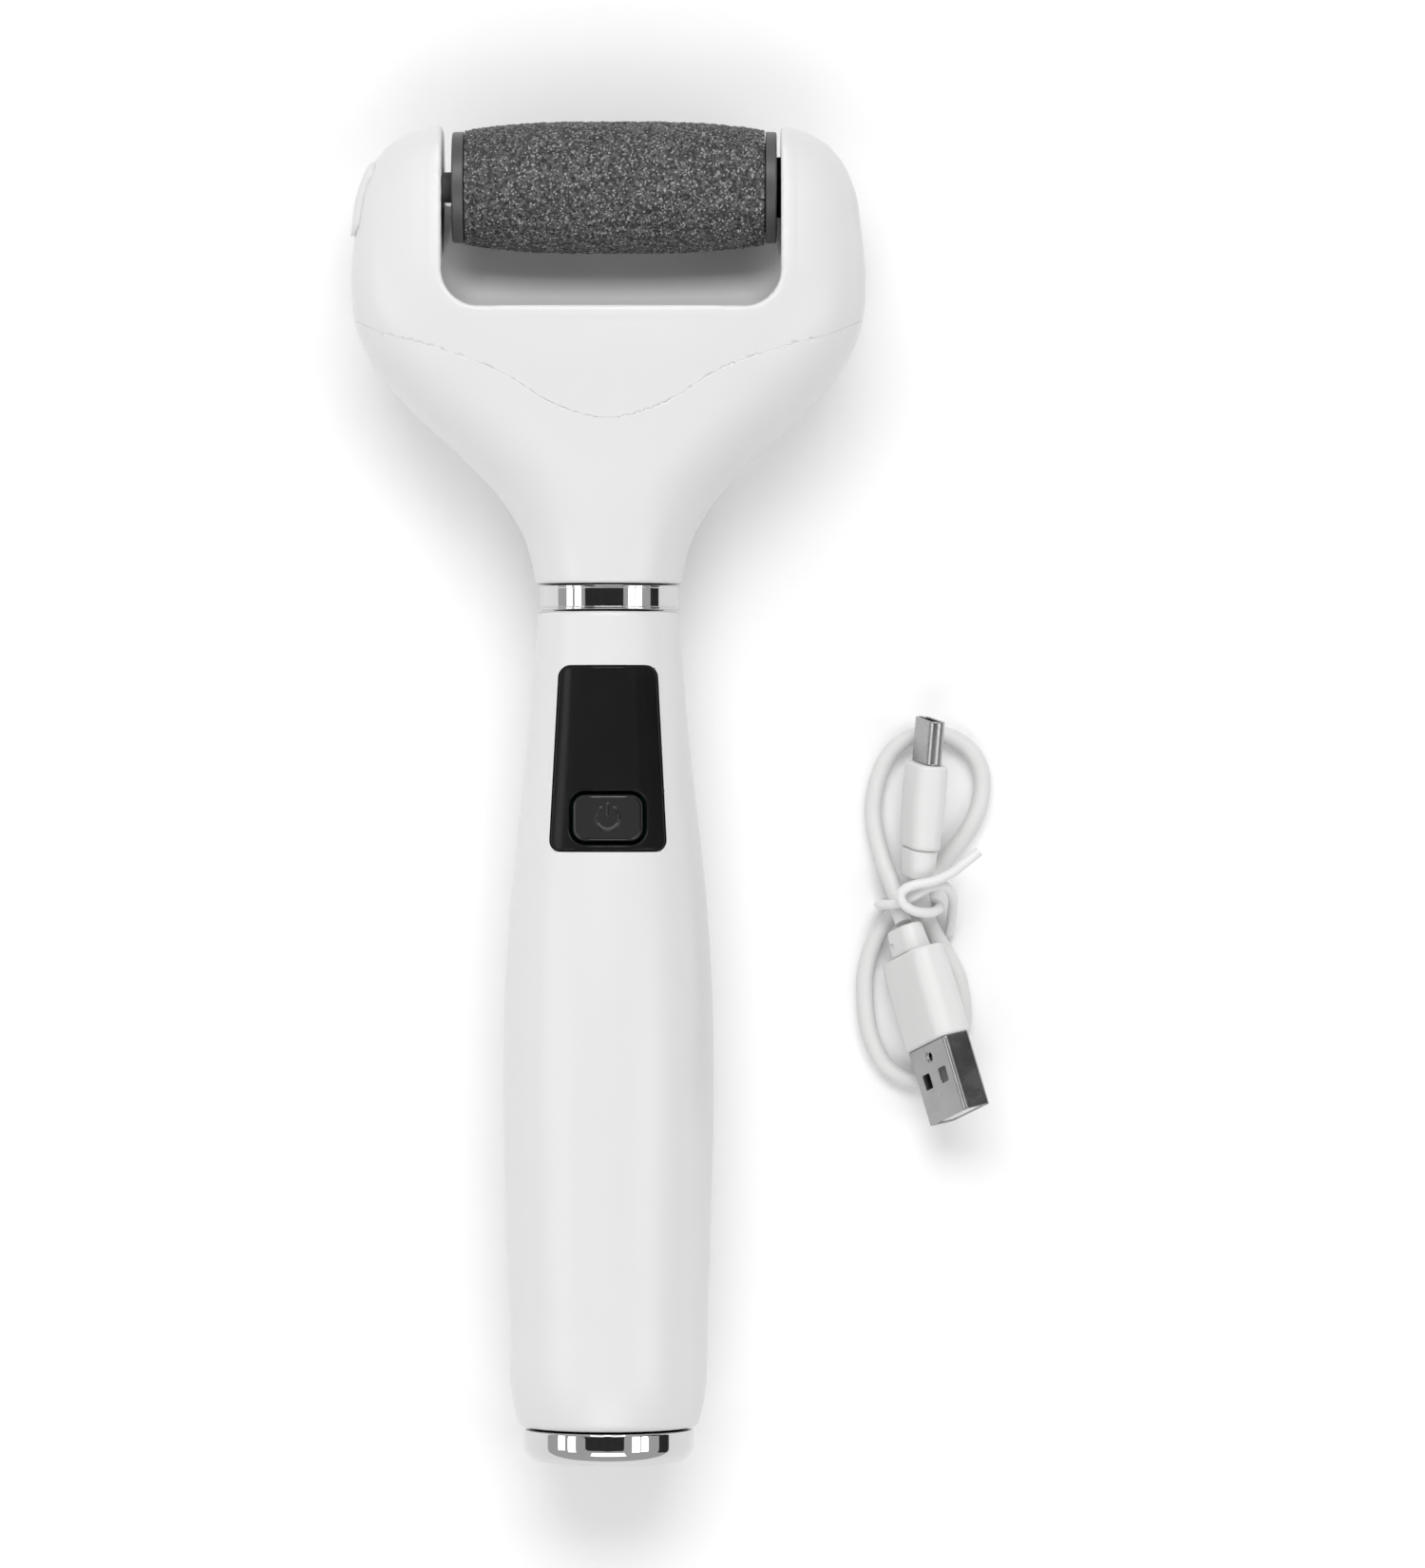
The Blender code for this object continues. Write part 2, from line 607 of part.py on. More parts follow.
def mesh_distance(teeth, other_teeth):
    return (teeth + other_teeth) * MODULE / 2 + MESH_CLEARANCE


def gear_centres():
    """(y, z) of the motor, lower idler, upper idler and roller axes."""
    motor, roller = np.array((MOTOR_Y, MOTOR_Z)), np.array((AXLE_Y, AXLE_Z))
    towards = (motor - roller) / np.linalg.norm(motor - roller)
    upper = roller + towards * mesh_distance(UPPER_TEETH, DRIVE_TEETH)
    span = float(np.linalg.norm(upper - motor))
    near = mesh_distance(PINION_TEETH, LOWER_TEETH)
    far = mesh_distance(LOWER_TEETH, UPPER_TEETH)
    along = (near**2 - far**2 + span**2) / (2 * span)
    off = math.sqrt(near**2 - along**2)
    forward = (upper - motor) / span
    lower = motor + forward * along + np.array((forward[1], -forward[0])) * off
    return motor, lower, upper, roller


def make_gears():
    names = ("motor_pinion", "lower_idler_gear", "upper_idler_gear", "drive_gear")
    teeth = (PINION_TEETH, LOWER_TEETH, UPPER_TEETH, DRIVE_TEETH)
    materials = ("brass", "gear_plastic", "gear_plastic", "gear_plastic")
    bores = (None, GEAR_PIN_RADIUS + 0.2, GEAR_PIN_RADIUS + 0.2, 1.7 + 0.15)
    centres = gear_centres()
    phase = 0.0
    for i, name in enumerate(names):
        if i:
            step = centres[i] - centres[i - 1]
            phase = meshed_phase(phase, teeth[i - 1], teeth[i], math.atan2(step[1], step[0]))
        origin = (GEAR_X, *centres[i])
        outline = gear_outline(teeth[i], phase, centres[i])
        gear = prism(name, outline, "X", GEAR_X, GEAR_X + GEAR_WIDTH, materials[i], origin)
        if bores[i]:
            cut(gear, arm_hole(name + "_bore", 20, 40, bores[i], *centres[i]))
        else:
            join(gear, arm_hole("motor_shaft", MOTOR_RIGHT + GAP, GEAR_X + 0.5, 1.0, *centres[i]))


def make_gear_plate():
    """The plate outboard of the gears, with a pin for each idler gear held between it and the cover."""
    _, lower, upper, roller = gear_centres()
    start, end, radius, steps = lower, roller, 3.9, 8
    direction = math.atan2(*(end - start)[::-1])
    outline = []
    for centre, turn in ((end, -math.pi / 2), (start, math.pi / 2)):
        for i in range(steps + 1):
            angle = direction + turn + math.pi * i / steps
            outline.append((centre[0] + radius * math.cos(angle), centre[1] + radius * math.sin(angle)))
    left = GEAR_X + GEAR_WIDTH + GAP
    plate = prism("gear_plate", outline, "X", left, left + 1.3, "inner_plastic")
    for name, centre, bore in (("lower", lower, 1.1), ("upper", upper, 1.1), ("hub", roller, 1.95)):
        cut(plate, arm_hole(name + "_plate_bore", 20, 40, bore, *centre))
    pin_end = left + 1.6
    for name, centre in (("lower_gear_pin", lower), ("upper_gear_pin", upper)):
        smooth(cylinder(name, "X", (0, *centre), GEAR_X - 0.2, pin_end, GEAR_PIN_RADIUS, 14, "steel"))


def make_motor():
    centre = (0, MOTOR_Y, MOTOR_Z)
    boss, boss_radius, edge = 1.5, 2.6, 0.8
    profile = [
        (MOTOR_LEFT - boss, 0),
        (MOTOR_LEFT - boss, boss_radius),
        (MOTOR_LEFT, boss_radius),
        (MOTOR_LEFT, MOTOR_RADIUS - edge),
        (MOTOR_LEFT + edge, MOTOR_RADIUS),
        (MOTOR_RIGHT - edge, MOTOR_RADIUS),
        (MOTOR_RIGHT, MOTOR_RADIUS - edge),
        (MOTOR_RIGHT, 0),
    ]
    motor = revolved("motor", profile, "X", centre, 32, "steel")
    sides = []
    flats = (("motor_flat_front", MOTOR_Z + MOTOR_FLAT), ("motor_flat_back", MOTOR_Z - MOTOR_FLAT - 10))
    for name, low in flats:
        sides.append(box(name, (-40, 40, low), (40, 90, low + 10)))
    cut(motor, *sides)
    floor = MOTOR_Z - MOTOR_FLAT
    cradle_low, cradle_high = (-9, MOTOR_Y - 6.0, WALL + 2 * GAP), (5, MOTOR_Y + 6.5, floor + 2.4)
    cradle = box("motor_cradle", cradle_low, cradle_high, "inner_plastic")
    bed = cylinder("cradle_bed", "X", centre, -40, 40, MOTOR_RADIUS + GAP, 32)
    cut(cradle, keep_inside(bed, box("bed_region", (-50, 40, floor - GAP), (50, 90, 40))))
    smooth(motor)
    return motor, cradle


# ---------------------------------------------------------------- release mechanism


def make_release():
    """Side button, the lever that it rocks and the pin that the lever draws out of the roller."""
    low = RELEASE_Y - RELEASE_LENGTH / 2
    button = head_loft("release_button", -RELEASE_PROUD, material="white_plastic", segments=44)
    region = rounded_box(
        "release_region",
        (-60, low, AXLE_Z - RELEASE_HEIGHT / 2),
        (-30, low + RELEASE_LENGTH, AXLE_Z + RELEASE_HEIGHT / 2),
        2.0,
        "X",
    )
    inside = head_loft("release_inside", WALL, NECK_LOW - 2, segments=40)
    leg = box("release_leg", (-36.9, 83.6, AXLE_Z - 2), (-33.4, 86.0, AXLE_Z + 2))
    arm = box("release_arm", (-35.2, 77.6, AXLE_Z - 2), (-33.4, 86.0, AXLE_Z + 2))
    foot = box("release_foot", (-35.2, 77.6, LEVER_Z - 1.2), (-33.4, 81.6, AXLE_Z))
    nose = box("release_nose", (-34.0, 77.6, LEVER_Z - 1.2), (LEVER_X - 1.1, 78.8, LEVER_Z + 1.2))
    pin_room = box("pin_room", (-35.2, 87.4, 10), (-20, 99, 30))
    keep_inside(button, region)
    cut(button, inside, pin_room)
    join(button, leg, arm, foot, nose)
    smooth(button)

    pivot = (LEVER_X, LEVER_Y, LEVER_Z)
    half, depth = LEVER_THICKNESS / 2, LEVER_DEPTH / 2
    lever = rounded_box(
        "release_lever",
        (LEVER_X - half, 77.8, LEVER_Z - depth),
        (LEVER_X + half, AXLE_Y + 1.0, LEVER_Z + depth),
        0.5,
        "Z",
        "inner_plastic",
        pivot,
    )
    hub = cylinder("lever_hub", "Z", pivot, LEVER_Z - depth, LEVER_Z + depth, 1.9, 18)
    peg = cylinder("lever_peg", "Z", (LEVER_X, AXLE_Y, 0), LEVER_Z, 17.4, 0.7, 12)
    bore = cylinder("lever_bore", "Z", pivot, 5, 17.0, 1.1, 14)
    cut(join(lever, hub, peg), bore)
    smooth(cylinder("lever_pivot_pin", "Z", pivot, LEVER_Z - 3.2, LEVER_Z + 4.0, 0.8, 12, "steel", pivot))

    pin = cylinder("release_pin", "X", (0, AXLE_Y, AXLE_Z), PIN_LEFT, PIN_RIGHT, PIN_RADIUS, 24, "steel")
    slot = box("peg_slot", (LEVER_X - 1.1, 80, 10), (LEVER_X + 1.1, 100, 17.9))
    smooth(cut(pin, slot))

    turns, coils = 4.5, 54
    coil = []
    for i in range(coils + 1):
        angle = 2 * math.pi * turns * i / coils
        coil.append((-33.0 + 5.6 * i / coils, 81.6 + 1.5 * math.cos(angle), 18.9 + 1.5 * math.sin(angle)))
    tube("release_spring", coil, 0.4, "steel", 1)


# ---------------------------------------------------------------- electrics


def make_electrics():
    battery = [
        (-78.0, 0),
        (-78.0, 8.6),
        (-77.5, 9.1),
        (-14.0, 9.1),
        (-13.5, 8.6),
        (-13.5, 3.2),
        (-12.7, 3.0),
        (-12.7, 0),
    ]
    smooth(revolved("battery", battery, "Y", (0, 0, AXIS_Z), 32, "battery_wrap"))
    tray_low = AXIS_Z - 10.7
    chassis = box("chassis", (-5.2, -83.5, tray_low), (5.2, -9.5, tray_low + 1.2), "inner_plastic")
    low_wall = cylinder("chassis_low_wall", "Y", (0, 0, AXIS_Z), -83.5, -82.0, 10.2, 28)
    high_wall = cylinder("chassis_high_wall", "Y", (0, 0, AXIS_Z), -11.0, -9.5, 10.2, 28)
    shelf = box("board_shelf", (-5.5, -10.5, 18.7), (5.5, 25.0, 20.5))
    join(chassis, low_wall, high_wall, shelf)
    cut(chassis, box("board_room", (-20, -20, 20.5), (20, 30, 40)))
    spring_end, contact_y = -81.7, -78.3
    coil = []
    for i in range(49):
        angle = 2 * math.pi * 3 * i / 48
        radius = 4.2 - 1.6 * i / 48
        along = spring_end + 0.5 + (contact_y - spring_end - 1.0) * i / 48
        coil.append((radius * math.cos(angle), along, AXIS_Z + radius * math.sin(angle)))
    tube("battery_spring", coil, 0.6, "steel", 1)
    plate_low, plate_high = (-3.4, -12.3, AXIS_Z - 3.4), (3.4, -11.9, AXIS_Z + 3.4)
    plate = rounded_box("battery_contact", plate_low, plate_high, 1.0, "Y", "brass")
    join(plate, box("contact_tab", (-0.9, -12.3, AXIS_Z + 2), (0.9, -11.9, AXIS_Z + 5.2)))

    board = rounded_box("main_board", (-6.6, -9.0, 20.8), (6.6, 24.6, 22.0), 0.8, "Z", "board")
    box("controller_chip", (-2.6, 19.6, 22.1), (2.6, 23.4, 23.2), "black_plastic")
    rounded_box("display_module", (-5.0, 2.6, 22.3), (5.0, 17.2, 23.9), 0.6, "Z", "display_glass")
    switch_low, switch_high = (-2.6, BUTTON_Y - 2.6, 22.3), (2.6, BUTTON_Y + 2.6, 24.5)
    rounded_box("power_switch", switch_low, switch_high, 0.4, "Z", "black_plastic")

    box("charging_board", (-7.0, -94.5, AXIS_Z - 3.0), (7.0, -84.0, AXIS_Z - 1.9), "board")
    socket = prism("charging_socket", rounded_rectangle(AXIS_Z, 0, 3.2, 9.0, 1.5), "Y", -99.6, -92.2, "steel")
    hollow = prism("socket_hollow", rounded_rectangle(AXIS_Z, 0, 2.6, 8.4, 1.2), "Y", -101, -93.0)
    tongue = box("socket_tongue", (-3.3, -98.8, AXIS_Z - 0.35), (3.3, -92.6, AXIS_Z + 0.35))
    join(cut(socket, hollow), tongue)
    make_board_screws(board, chassis)


def make_board_screws(*held):
    """Two small screws that hold the main board on the chassis shelf."""
    for name, x in (("left_board_screw", -BOARD_SCREW_X), ("right_board_screw", BOARD_SCREW_X)):
        centre = (x, BOARD_SCREW_Y, 0)
        profile = [(19.0, 0), (19.0, 0.8), (22.1, 0.8), (22.1, 1.5), (22.7, 1.5), (22.9, 1.2), (22.9, 0)]
        smooth(revolved(name, profile, "Z", centre, 14, "steel"))
        for piece in held:
            cut(piece, cylinder(name + "_hole", "Z", centre, 10, 30, 1.05, 14))


# ---------------------------------------------------------------- charging lead

CORD_ROUTE = (
    (44.55, -19.9, 6.3), (43.7, -17.2, 5.2), (42.9, -14.2, 3.9), (41.3, -9.8, 2.1), (40.1, -4.2, 1.5),
    (40.5, 0.7, 1.5), (42.2, 5.2, 1.5), (44.9, 7.8, 1.5), (48.0, 8.8, 1.5), (51.1, 8.5, 1.5),
    (54.1, 6.9, 1.5), (56.0, 4.3, 1.5), (56.6, 1.1, 1.5), (55.9, -2.8, 1.5), (53.8, -6.8, 1.5),
    (51.3, -9.8, 1.5), (49.6, -12.1, 1.5), (47.7, -14.6, 2.6), (45.6, -17.0, 3.1), (42.4, -19.4, 1.7),
    (40.1, -23.1, 1.5), (38.9, -27.5, 1.5), (38.8, -31.9, 1.5), (39.4, -36.3, 1.5), (41.0, -40.3, 1.5),
    (43.1, -42.6, 1.5), (46.2, -43.8, 1.5), (49.8, -42.6, 1.5), (52.4, -39.2, 1.5), (53.7, -34.6, 1.5),
    (53.0, -28.4, 1.5), (51.1, -24.6, 1.5), (49.3, -21.6, 2.8), (47.9, -18.6, 4.5), (47.1, -15.9, 5.7),
    (46.65, -13.5, 6.0),
)


def placed(obj, position, pose):
    """Sets a plug piece, drawn along +Y at the origin, on its spot: rolled, tipped up, then turned."""
    roll, tip, turn = (math.radians(angle) for angle in pose)
    obj.rotation_mode = "YXZ"
    obj.rotation_euler = (tip, roll, turn)
    obj.location = [value * MM for value in position]
    return obj


def plug_piece(name, outline, start, end, material, position, pose):
    return placed(prism(name, [(z, x) for x, z in outline], "Y", start, end, material), position, pose)


def make_plug(prefix, spot, pose, shell, body, relief, tongue_height=None):
    """A plug drawn along +Y from its strain relief to its metal shell."""
    width, height, shell_radius, shell_length = shell
    body_width, body_height, body_radius, body_length = body
    relief_width, relief_height, relief_radius, relief_length = relief
    outer = rounded_rectangle(0, 0, width, height, shell_radius)
    inner = rounded_rectangle(0, 0, width - 0.7, height - 0.7, max(shell_radius - 0.35, 0.1))
    case = plug_piece(prefix + "_shell", outer, GAP, shell_length, "steel", spot, pose)
    hollow = plug_piece(prefix + "_hollow", inner, 1.2, shell_length + 5, None, spot, pose)
    cut(case, hollow)
    grip = rounded_rectangle(0, 0, body_width, body_height, body_radius)
    plug_piece(prefix + "_overmould", grip, -body_length, 0.0, "cord_white", spot, pose)
    neck = rounded_rectangle(0, 0, relief_width, relief_height, relief_radius)
    end = -body_length - relief_length
    plug_piece(prefix + "_strain_relief", neck, end, -body_length - GAP, "cord_white", spot, pose)
    if tongue_height is not None:
        blade = rounded_rectangle(0, tongue_height, width - 1.4, 1.6, 0.2, 2)
        plug_piece(prefix + "_tongue", blade, 1.5, shell_length - 0.7, "tie_white", spot, pose)


def make_tie():
    """A plastic-coated wire: one end up over the strands, once round them, then over again to the other end."""
    route = (
        (51.6, -21.6, 0.9), (52.0, -18.4, 3.0), (51.9, -15.6, 6.4), (50.4, -14.2, 8.4), (47.9, -14.7, 8.9),
        (45.4, -16.2, 8.7), (43.1, -17.0, 8.0), (41.0, -17.1, 5.8), (41.2, -17.0, 2.7), (43.6, -16.8, 0.9),
        (46.6, -16.7, 0.9), (49.3, -17.0, 2.4), (50.0, -17.6, 5.3), (48.7, -18.3, 8.1), (46.3, -18.1, 9.7),
        (44.4, -16.9, 10.5), (44.1, -15.3, 10.8), (45.7, -14.2, 11.0), (48.7, -13.6, 10.8), (51.5, -12.4, 9.8),
        (53.6, -10.9, 8.9), (55.9, -9.1, 8.3),
    )
    tube("cord_tie", smooth_route(route, 1.6), TIE_DIAMETER, "tie_white", 2)


def make_lead():
    tube("charging_cord", smooth_route(CORD_ROUTE, 2.1), CORD_DIAMETER, "cord_white", 2)
    # Each plug: its junction, its (roll, tip, turn) and the (width, height, corner, length) of each part
    make_plug(
        "usb_c",
        (48.0, 4.3, 7.7),
        (-72.0, 6.0, -4.6),
        (8.25, 2.5, 1.2, 6.7),
        (9.3, 4.9, 2.2, 13.0),
        (7.6, 4.4, 2.0, 4.5),
    )
    make_plug(
        "usb_a",
        (49.7, -37.8, 8.9),
        (61.0, 8.0, 180 + 16.4),
        (12.0, 4.5, 0.6, 11.6),
        (13.4, 6.0, 2.4, 14.0),
        (7.6, 4.4, 2.0, 4.2),
        -0.85,
    )
    make_tie()


def main():
    make_head_cover()
    make_neck_shell()
    make_neck_ring()
    make_handle()
    make_power_button()
    make_end_cap()
    make_roller()
    make_drive_hub()
    make_bearing_plates()
    make_gears()
    make_gear_plate()
    make_motor()
    make_release()
    make_electrics()
    make_lead()


main()
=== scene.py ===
"""The looks of the electric callus remover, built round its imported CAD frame.

Every shape is drawn in millimetres in the row's frame: X across the head, Y from the end cap to the
roller, Z up out of the display side. Shells come from smooth solid fields, so their edges are round.
"""

import json
import math

import bpy
import numpy as np
import openvdb
from mathutils import Euler, Matrix, Vector


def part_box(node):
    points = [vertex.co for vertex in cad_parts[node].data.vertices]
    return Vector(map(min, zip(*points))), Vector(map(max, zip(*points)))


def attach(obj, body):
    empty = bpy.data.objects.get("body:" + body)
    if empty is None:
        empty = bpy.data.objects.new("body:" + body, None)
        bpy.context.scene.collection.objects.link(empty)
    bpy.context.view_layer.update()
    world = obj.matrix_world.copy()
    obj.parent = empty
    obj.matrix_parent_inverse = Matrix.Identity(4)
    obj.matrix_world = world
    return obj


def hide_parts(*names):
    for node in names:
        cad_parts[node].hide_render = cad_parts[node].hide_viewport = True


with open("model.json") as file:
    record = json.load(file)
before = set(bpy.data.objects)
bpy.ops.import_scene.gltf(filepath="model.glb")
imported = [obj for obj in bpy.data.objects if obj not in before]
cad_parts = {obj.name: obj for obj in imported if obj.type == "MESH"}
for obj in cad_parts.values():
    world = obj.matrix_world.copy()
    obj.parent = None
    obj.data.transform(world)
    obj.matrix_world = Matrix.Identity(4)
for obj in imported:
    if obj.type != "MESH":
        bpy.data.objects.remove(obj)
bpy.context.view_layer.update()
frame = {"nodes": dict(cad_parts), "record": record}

MM = 0.001


def node_box(name):
    """Lowest and highest corner of a CAD node, in millimetres."""
    low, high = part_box(name)
    return np.array(low) / MM, np.array(high) / MM


# ---------------------------------------------------------------- sizes from the frame

handle_low, handle_high = node_box("handle_shell")
ring_low, ring_high = node_box("neck_ring")
cap_low, cap_high = node_box("end_cap")
sleeve_low, sleeve_high = node_box("abrasive_sleeve")
left_rim_low, left_rim_high = node_box("left_rim")
right_rim_low, right_rim_high = node_box("right_rim")
window_low, window_high = node_box("display_window")
button_low, button_high = node_box("power_button")
release_low, release_high = node_box("release_button")
head_low, head_high = node_box("head_cover")

AXIS_Z = float(ring_low[2] + ring_high[2]) / 2
AXLE_Y = float(sleeve_low[1] + sleeve_high[1]) / 2
AXLE_Z = float(sleeve_low[2] + sleeve_high[2]) / 2
HANDLE_END, HANDLE_TOP = float(handle_low[1]), float(handle_high[1])
NECK_LOW = float(ring_high[1]) + 0.3
HEAD_TOP = float(head_high[1])
WALL = 2.0

# The same sections as the CAD shells: y, half width, half depth, centre height, squareness
HANDLE_STATIONS = (
    (HANDLE_END, 13.3, 13.2, AXIS_Z, 2.0),
    (-93.6, 13.85, 13.75, AXIS_Z, 2.0),
    (-78.0, 14.9, 14.8, AXIS_Z, 2.0),
    (-60.0, 15.5, 15.4, AXIS_Z, 2.0),
    (-44.0, 15.8, 15.7, AXIS_Z, 2.0),
    (-30.0, 15.55, 15.45, AXIS_Z, 2.0),
    (-14.0, 14.5, 14.3, AXIS_Z, 2.0),
    (2.0, 12.7, 12.6, AXIS_Z, 2.0),
    (18.0, 11.2, 11.2, AXIS_Z, 2.0),
    (HANDLE_TOP, 10.7, 10.7, AXIS_Z, 2.0),
)
HEAD_STATIONS = (
    (NECK_LOW, 10.9, 10.9, AXIS_Z, 2.05),
    (38.0, 12.7, 11.6, 15.7, 2.2),
    (44.2, 16.5, 12.7, 15.5, 2.35),
    (51.0, 23.1, 14.2, 15.3, 2.5),
    (58.0, 30.5, 15.3, 15.2, 2.7),
    (64.0, 35.4, 15.8, 15.3, 2.9),
    (70.0, 38.0, 15.8, 15.4, 3.2),
    (76.0, 38.6, 15.2, 15.6, 3.5),
    (84.0, 38.0, 13.4, 16.2, 3.6),
    (91.0, 36.7, 11.5, 16.8, 3.6),
    (95.2, 34.5, 10.4, 17.3, 3.4),
    (97.6, 32.0, 9.4, 17.6, 3.2),
    (99.0, 29.1, 8.4, 17.8, 3.0),
    (HEAD_TOP, 27.0, 7.4, 18.0, 3.0),
)
SEAM_STATIONS = (
    (-8.0, 57.6), (0.0, 55.6), (8.0, 57.6), (16.0, 62.4), (25.0, 65.9), (35.0, 69.0), (41.0, 72.2),
)
SEAM_GAP, SEAM_DEPTH, LIP_THICKNESS, LIP_REACH = 0.17, 0.3, 0.9, 1.2

# The release button is drawn taller than in the CAD; its opening ends before the inner wall of the arm
RELEASE_HALF_DEPTH, RELEASE_GAP, RELEASE_PROUD, RELEASE_THICKNESS = 3.6, 0.12, 0.65, 1.4
RELEASE_LOW, RELEASE_CORNER, RELEASE_OPENING_END, RELEASE_CAP_END = 83.3, 2.6, -31.5, -34.3
BAY_LEFT = float(node_box("left_bearing_plate")[1][0])
BAY_RIGHT = float(node_box("right_bearing_plate")[0][0])
BAY_Y, BAY_Z, BAY_RADIUS, BAY_CORNER, BAY_REAR, BAY_INSET = 91.5, 26.0, 19.67, 5.8, 88.5, 0.06
PLATE_RADIUS, PLATE_DEPTH, PLATE_GAP, PLATE_COVER = 9.8, 1.0, 0.3, 1.6
PIN_BORE, PIN_BORE_DEPTH = 2.7, 6.0

WINDOW_LOW, WINDOW_HIGH = -9.0, 18.9
WINDOW_LOW_WIDTH, WINDOW_HIGH_WIDTH, WINDOW_CORNER = 17.7, 14.8, 1.8
WINDOW_THICKNESS, WINDOW_GAP = 1.3, 0.12
BUTTON_Y, BUTTON_WIDTH, BUTTON_HEIGHT, BUTTON_CORNER, BUTTON_GROOVE = -3.9, 10.5, 7.0, 1.9, 0.5

CAP_ROUNDING, CAP_FLOOR, SPIGOT_START, SPIGOT_RADIUS, SPIGOT_BORE = 2.3, -97.6, -96.5, 11.1, 9.6
PORT_HALF_WIDTH, PORT_HALF_HEIGHT, PORT_CORNER, PORT_END = 4.85, 1.95, 1.9, -97.0

# The finest meshes are for the smallest pieces
SHELL_VOXEL, CAP_VOXEL, RELEASE_VOXEL, WINDOW_VOXEL, BUTTON_VOXEL = 0.45, 0.3, 0.24, 0.2, 0.1

# ---------------------------------------------------------------- smooth tables through stations


def station_tables(stations, samples=600):
    """Each column of the stations as a smooth table over y."""
    xs = np.array([row[0] for row in stations])
    at = np.linspace(xs[0], xs[-1], samples)
    k = np.clip(np.searchsorted(xs, at, side="right") - 1, 0, len(xs) - 2)
    width = xs[k + 1] - xs[k]
    t = (at - xs[k]) / width
    columns = []
    for column in range(1, len(stations[0])):
        ys = np.array([row[column] for row in stations])
        slopes = np.gradient(ys, xs)
        columns.append(
            ys[k] * (2 * t**3 - 3 * t**2 + 1)
            + slopes[k] * width * (t**3 - 2 * t**2 + t)
            + ys[k + 1] * (3 * t**2 - 2 * t**3)
            + slopes[k + 1] * width * (t**3 - t**2)
        )
    return at, columns


HANDLE_TABLE = station_tables(HANDLE_STATIONS)
HEAD_TABLE = station_tables(HEAD_STATIONS)
SEAM_TABLE = station_tables(SEAM_STATIONS)


# ---------------------------------------------------------------- solid fields, negative inside


def both(a, b, radius):
    """Where both solids are, with the edge between them rounded."""
    corner = np.hypot(np.maximum(radius + a, 0), np.maximum(radius + b, 0))
    return np.minimum(-radius, np.maximum(a, b)) + corner


def either(a, b, radius):
    """Where either solid is, with the corner between them filled by a fillet."""
    fillet = np.hypot(np.maximum(radius - a, 0), np.maximum(radius - b, 0))
    return np.maximum(radius, np.minimum(a, b)) - fillet


def without(a, b, radius):
    """The first solid with the second cut out of it."""
    return both(a, -b, radius)


def slab(value, low, high):
    return np.abs(value - (low + high) / 2) - (high - low) / 2


def housing(table, x, y, z):
    """Signed distance from a housing's skin, measured along the ray from its centre line."""
    at, (half_width, half_depth, centre, square) = table
    w, d, c, n = (np.interp(y, at, column) for column in (half_width, half_depth, centre, square))
    px, pz = np.abs(x) + 1e-4, np.abs(z - c) + 1e-4
    g = ((px / w) ** n + (pz / d) ** n) ** (1 / n)
    return np.hypot(px, pz) * (1 - 1 / g)


def head_body(x, y, z):
    skin = housing(HEAD_TABLE, x, y, z)
    skin = both(skin, -z, 1.2)
    return both(skin, y - HEAD_TOP, 1.0)


def bay(x, y, z):
    barrel = np.hypot(y - BAY_Y, z - BAY_Z) - BAY_RADIUS
    sides = slab(x, BAY_LEFT + BAY_INSET, BAY_RIGHT - BAY_INSET)
    return np.minimum(both(barrel, sides, BAY_CORNER), both(sides, BAY_REAR - y, 0.5))


def seam_height(x):
    at, (height,) = SEAM_TABLE
    return np.interp(np.abs(x), at, height)


def seam_distance(x, y):
    """Distance above the wavy seam, allowing for its slope."""
    slope = (seam_height(np.abs(x) + 0.5) - seam_height(np.abs(x) - 0.5)) / 1.0
    return (y - seam_height(x)) / np.sqrt(1 + slope**2)


def seam_lip(body, x, y):
    """The tongue of the neck shell that runs under the head cover and closes the seam from below."""
    depth = slab(body, -SEAM_DEPTH - LIP_THICKNESS, -SEAM_DEPTH)
    return np.maximum(depth, slab(seam_distance(x, y), -LIP_REACH, LIP_REACH))


def disc(x, y, z, start, end, radius, edge=0.15):
    return both(np.hypot(y - AXLE_Y, z - AXLE_Z) - radius, slab(x, start, end), edge)


def release_region(y, z, grow):
    """The release button's outline on the left arm, grown for its opening."""
    half_y = (release_high[1] - RELEASE_LOW) / 2
    middle = (release_high[1] + RELEASE_LOW) / 2
    along = np.abs(y - middle) - half_y - grow
    return both(along, np.abs(z - AXLE_Z) - RELEASE_HALF_DEPTH - grow, RELEASE_CORNER)


